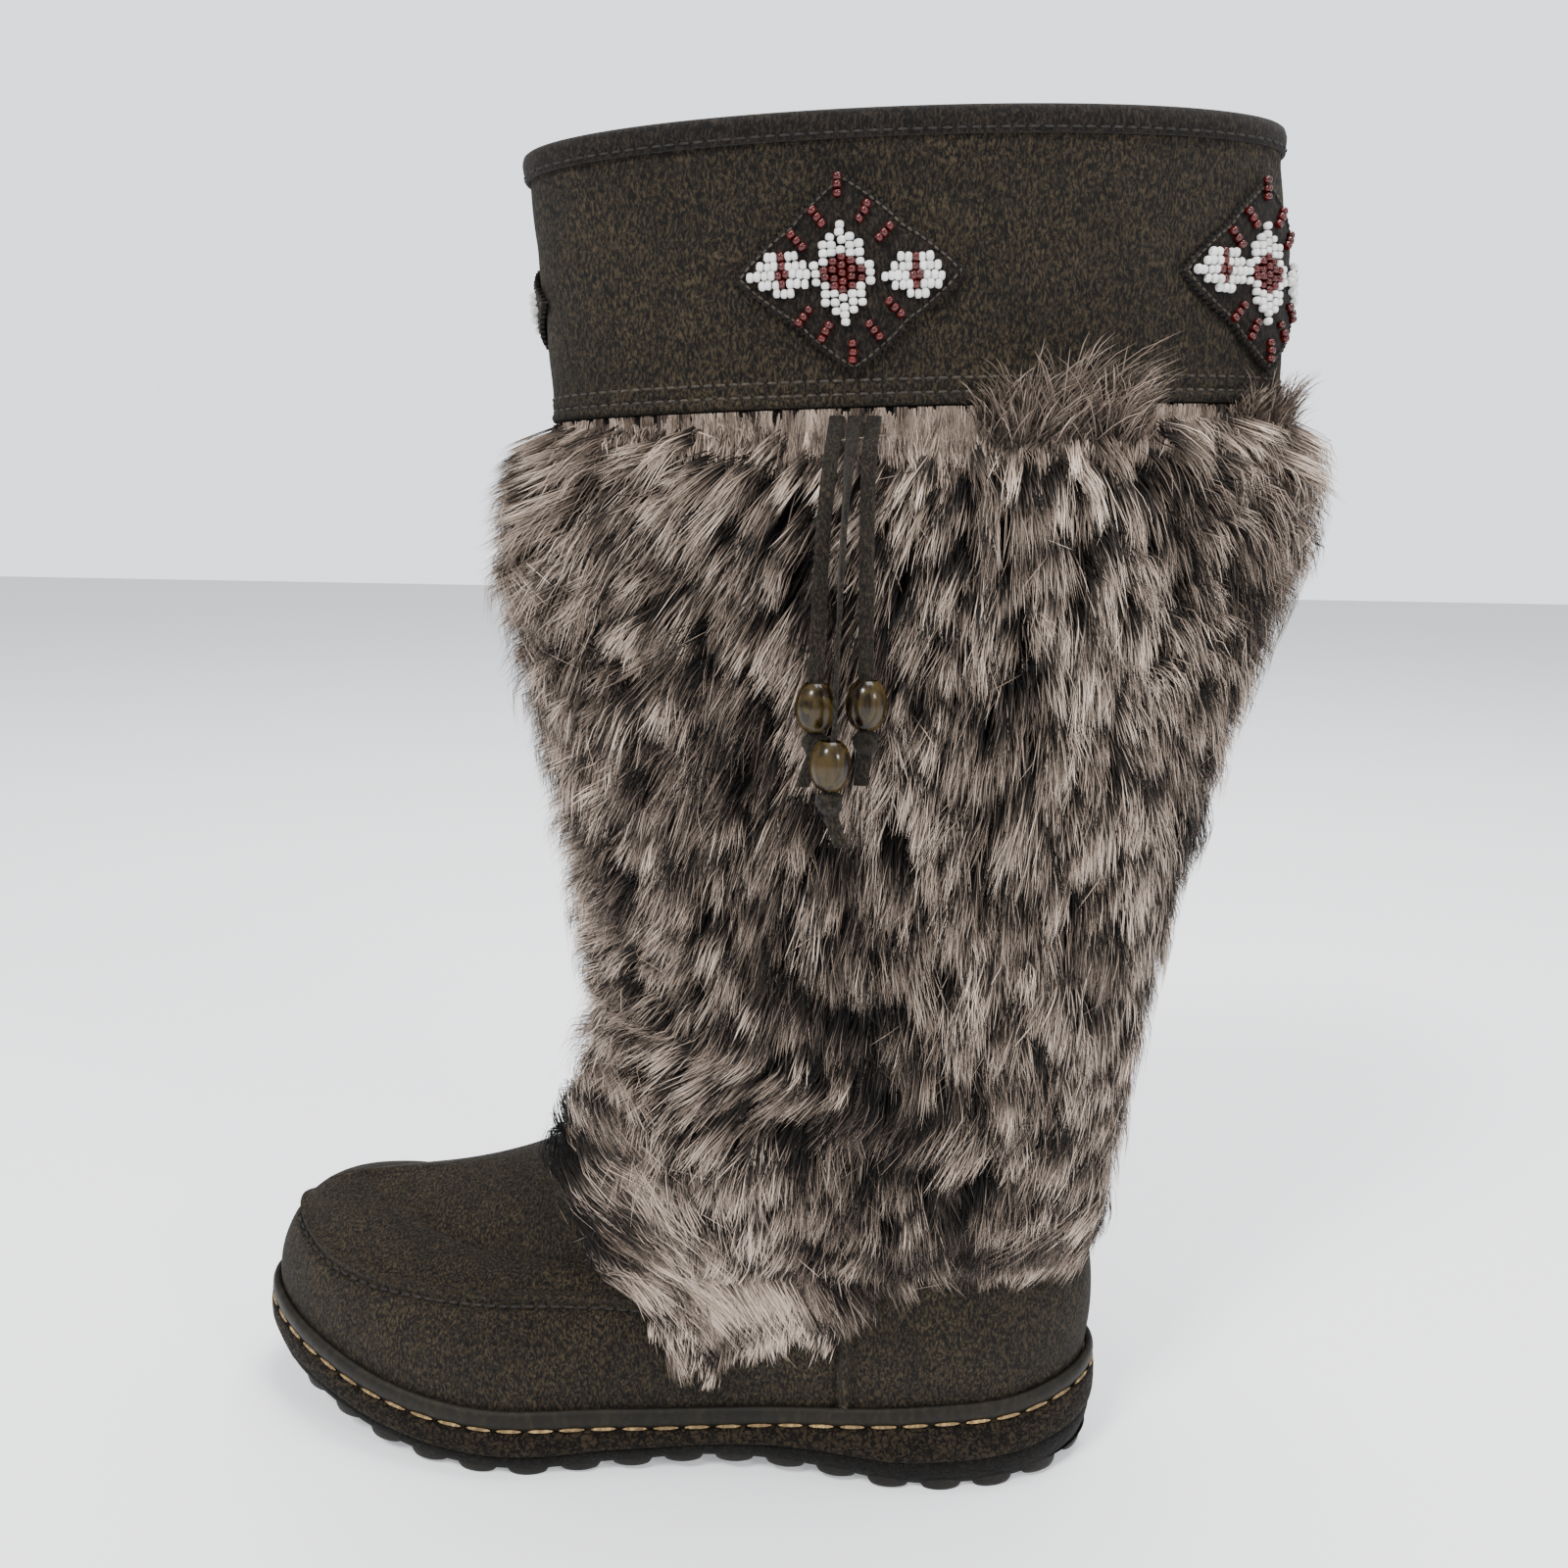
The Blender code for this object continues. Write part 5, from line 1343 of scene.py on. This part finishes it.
tree.links.new(maths(tree, "MULTIPLY_ADD", veins.outputs[0], 0.12, 0.20),
               shader.inputs["Roughness"])


def capped(rows):
    """A mesh through rows of places whose open ends are filled."""
    mesh = lofted(rows)
    bmesh.ops.holes_fill(mesh, edges=[e for e in mesh.edges if e.is_boundary], sides=40)
    bmesh.ops.recalc_face_normals(mesh, faces=mesh.faces)
    return mesh


# Each strip's route from the collar to its bead, its twist, and its cut end's way forward
for label, (route, turn, forward) in ROUTES.items():
    keys = np.linspace(0, 1, len(route))
    points = [curve_through(keys, axis)(ROUTE_SHARES) for axis in zip(*route)]
    points = np.stack(points, -1)
    along = unit(np.gradient(points, axis=0))
    flat = unit(np.array([1.0, 0, 0]) - along * along[:, :1])
    thick = np.cross(along, flat)
    twist = turn * np.minimum(ROUTE_SHARES * 3.0, 1) + 0.12 * np.sin(ROUTE_SHARES * 9 + turn)
    twist = twist[:, None]
    wide = (flat * np.cos(twist) + thick * np.sin(twist)) * STRIP_WIDTH / 2
    deep = (thick * np.cos(twist) - flat * np.sin(twist)) * STRIP_THICKNESS / 2
    rows = [points + wide * across + deep * through for across, through in STRIP_SECTION]
    strip = add_piece("tassel_strip_" + label, capped(rows), [strip_suede],
                      ["strip_" + label])
    end = points[-1]

    rows = []
    for up in np.linspace(-1.0, 1.0, 15):
        radius = mix(BEAD_BORE / 2, BEAD_DIAMETER / 2, (1 - up * up) ** 0.75)
        height = np.full(len(RING), BEAD_LENGTH / 2 * (1 + up * 0.98) - GAP)
        rows.append(np.column_stack([radius * np.cos(RING), radius * np.sin(RING), height]) + end)
    bead = add_piece("tassel_bead_" + label, lofted(rows + rows[:1]), [horn],
                     ["horn_bead_" + label])

    rows = []
    for down, width, depth, away in KNOT_RINGS:
        middle = end + np.array([away * forward, 0, -GAP - down * KNOT_HEIGHT])
        fold = (1 + 0.10 * np.sin(RING * 3 + down * 9) * (0.1 < down < 1)) * KNOT_WIDTH / 2
        rows.append(np.column_stack([width * np.cos(RING) * fold, depth * np.sin(RING) * fold,
                                     np.zeros(len(RING))]) + middle)
    knot_piece = add_piece("tassel_knot_" + label, capped(rows), [strip_suede],
                           ["knot_" + label])
    length = float(np.linalg.norm(np.diff(points, axis=0), axis=1).sum())


# Floor, light and camera
# A plain pale floor under soft studio light from above and both sides. The camera's place, turn
# and lens are fitted to the photograph.
FLOOR_REACH = 6.0
LIGHTS = (("key", (-0.8, -1.5, 2.0), 0.5, 62), ("top", (0.3, 0.2, 2.4), 1.2, 70),
          ("fill", (1.6, -1.2, 1.2), 0.4, 22))
BOOT_MIDDLE = Vector((0, 0, 0.2))
YAW, PITCH, ROLL = 0.1395, 0.1885, 0.0115
CAMERA_AIM = Vector((-0.0598, 0, 0.2978))
CAMERA_AWAY = 0.4175
SENSOR = 36.0
FOCAL_SHARE = 1376 / 1600

mesh = bmesh.new()
bmesh.ops.create_grid(mesh, x_segments=2, y_segments=2, size=FLOOR_REACH)
data = bpy.data.meshes.new("floor")
mesh.to_mesh(data)
mesh.free()
floor = bpy.data.objects.new("floor", data)
bpy.context.scene.collection.objects.link(floor)
paper = bpy.data.materials.new("pale paper")
paper.use_nodes = True
shader = paper.node_tree.nodes["Principled BSDF"]
shader.inputs["Base Color"].default_value = (0.88, 0.89, 0.91, 1)
shader.inputs["Roughness"].default_value = 0.9
shader.inputs["Emission Color"].default_value = (0.97, 0.985, 1.0, 1)
shader.inputs["Emission Strength"].default_value = 0.30
data.materials.append(paper)

world = bpy.data.worlds.new("studio")
bpy.context.scene.world = world
world.use_nodes = True
sky = world.node_tree.nodes["Background"]
sky.inputs["Color"].default_value = (0.92, 0.95, 1.0, 1)
seen = world.node_tree.nodes.new("ShaderNodeLightPath").outputs["Is Camera Ray"]
brightness = maths(world.node_tree, "MULTIPLY_ADD", seen, 1.15, 0.82)
world.node_tree.links.new(brightness, sky.inputs["Strength"])

for name, place, size, power in LIGHTS:
    lamp = bpy.data.lights.new(name, "AREA")
    lamp.energy, lamp.size = power, size
    holder = bpy.data.objects.new(name, lamp)
    holder.location = place
    holder.rotation_euler = (BOOT_MIDDLE - Vector(place)).to_track_quat("-Z", "Y").to_euler()
    bpy.context.scene.collection.objects.link(holder)

level_ahead = Vector((-math.sin(YAW), math.cos(YAW), 0))
forward = level_ahead * math.cos(PITCH) - Vector((0, 0, math.sin(PITCH)))
right = Vector((math.cos(YAW), math.sin(YAW), 0))
upward = right.cross(forward)
rolled_right = right * math.cos(ROLL) + upward * math.sin(ROLL)
rolled_up = upward * math.cos(ROLL) - right * math.sin(ROLL)
lens = bpy.data.cameras.new("camera")
lens.sensor_width = SENSOR
lens.lens = SENSOR * FOCAL_SHARE
lens.clip_start = 0.02
camera = bpy.data.objects.new("camera", lens)
turned = Matrix((rolled_right, rolled_up, -forward)).transposed().to_4x4()
camera.matrix_world = Matrix.Translation(CAMERA_AIM - CAMERA_AWAY * level_ahead) @ turned
bpy.context.scene.collection.objects.link(camera)
bpy.context.scene.camera = camera
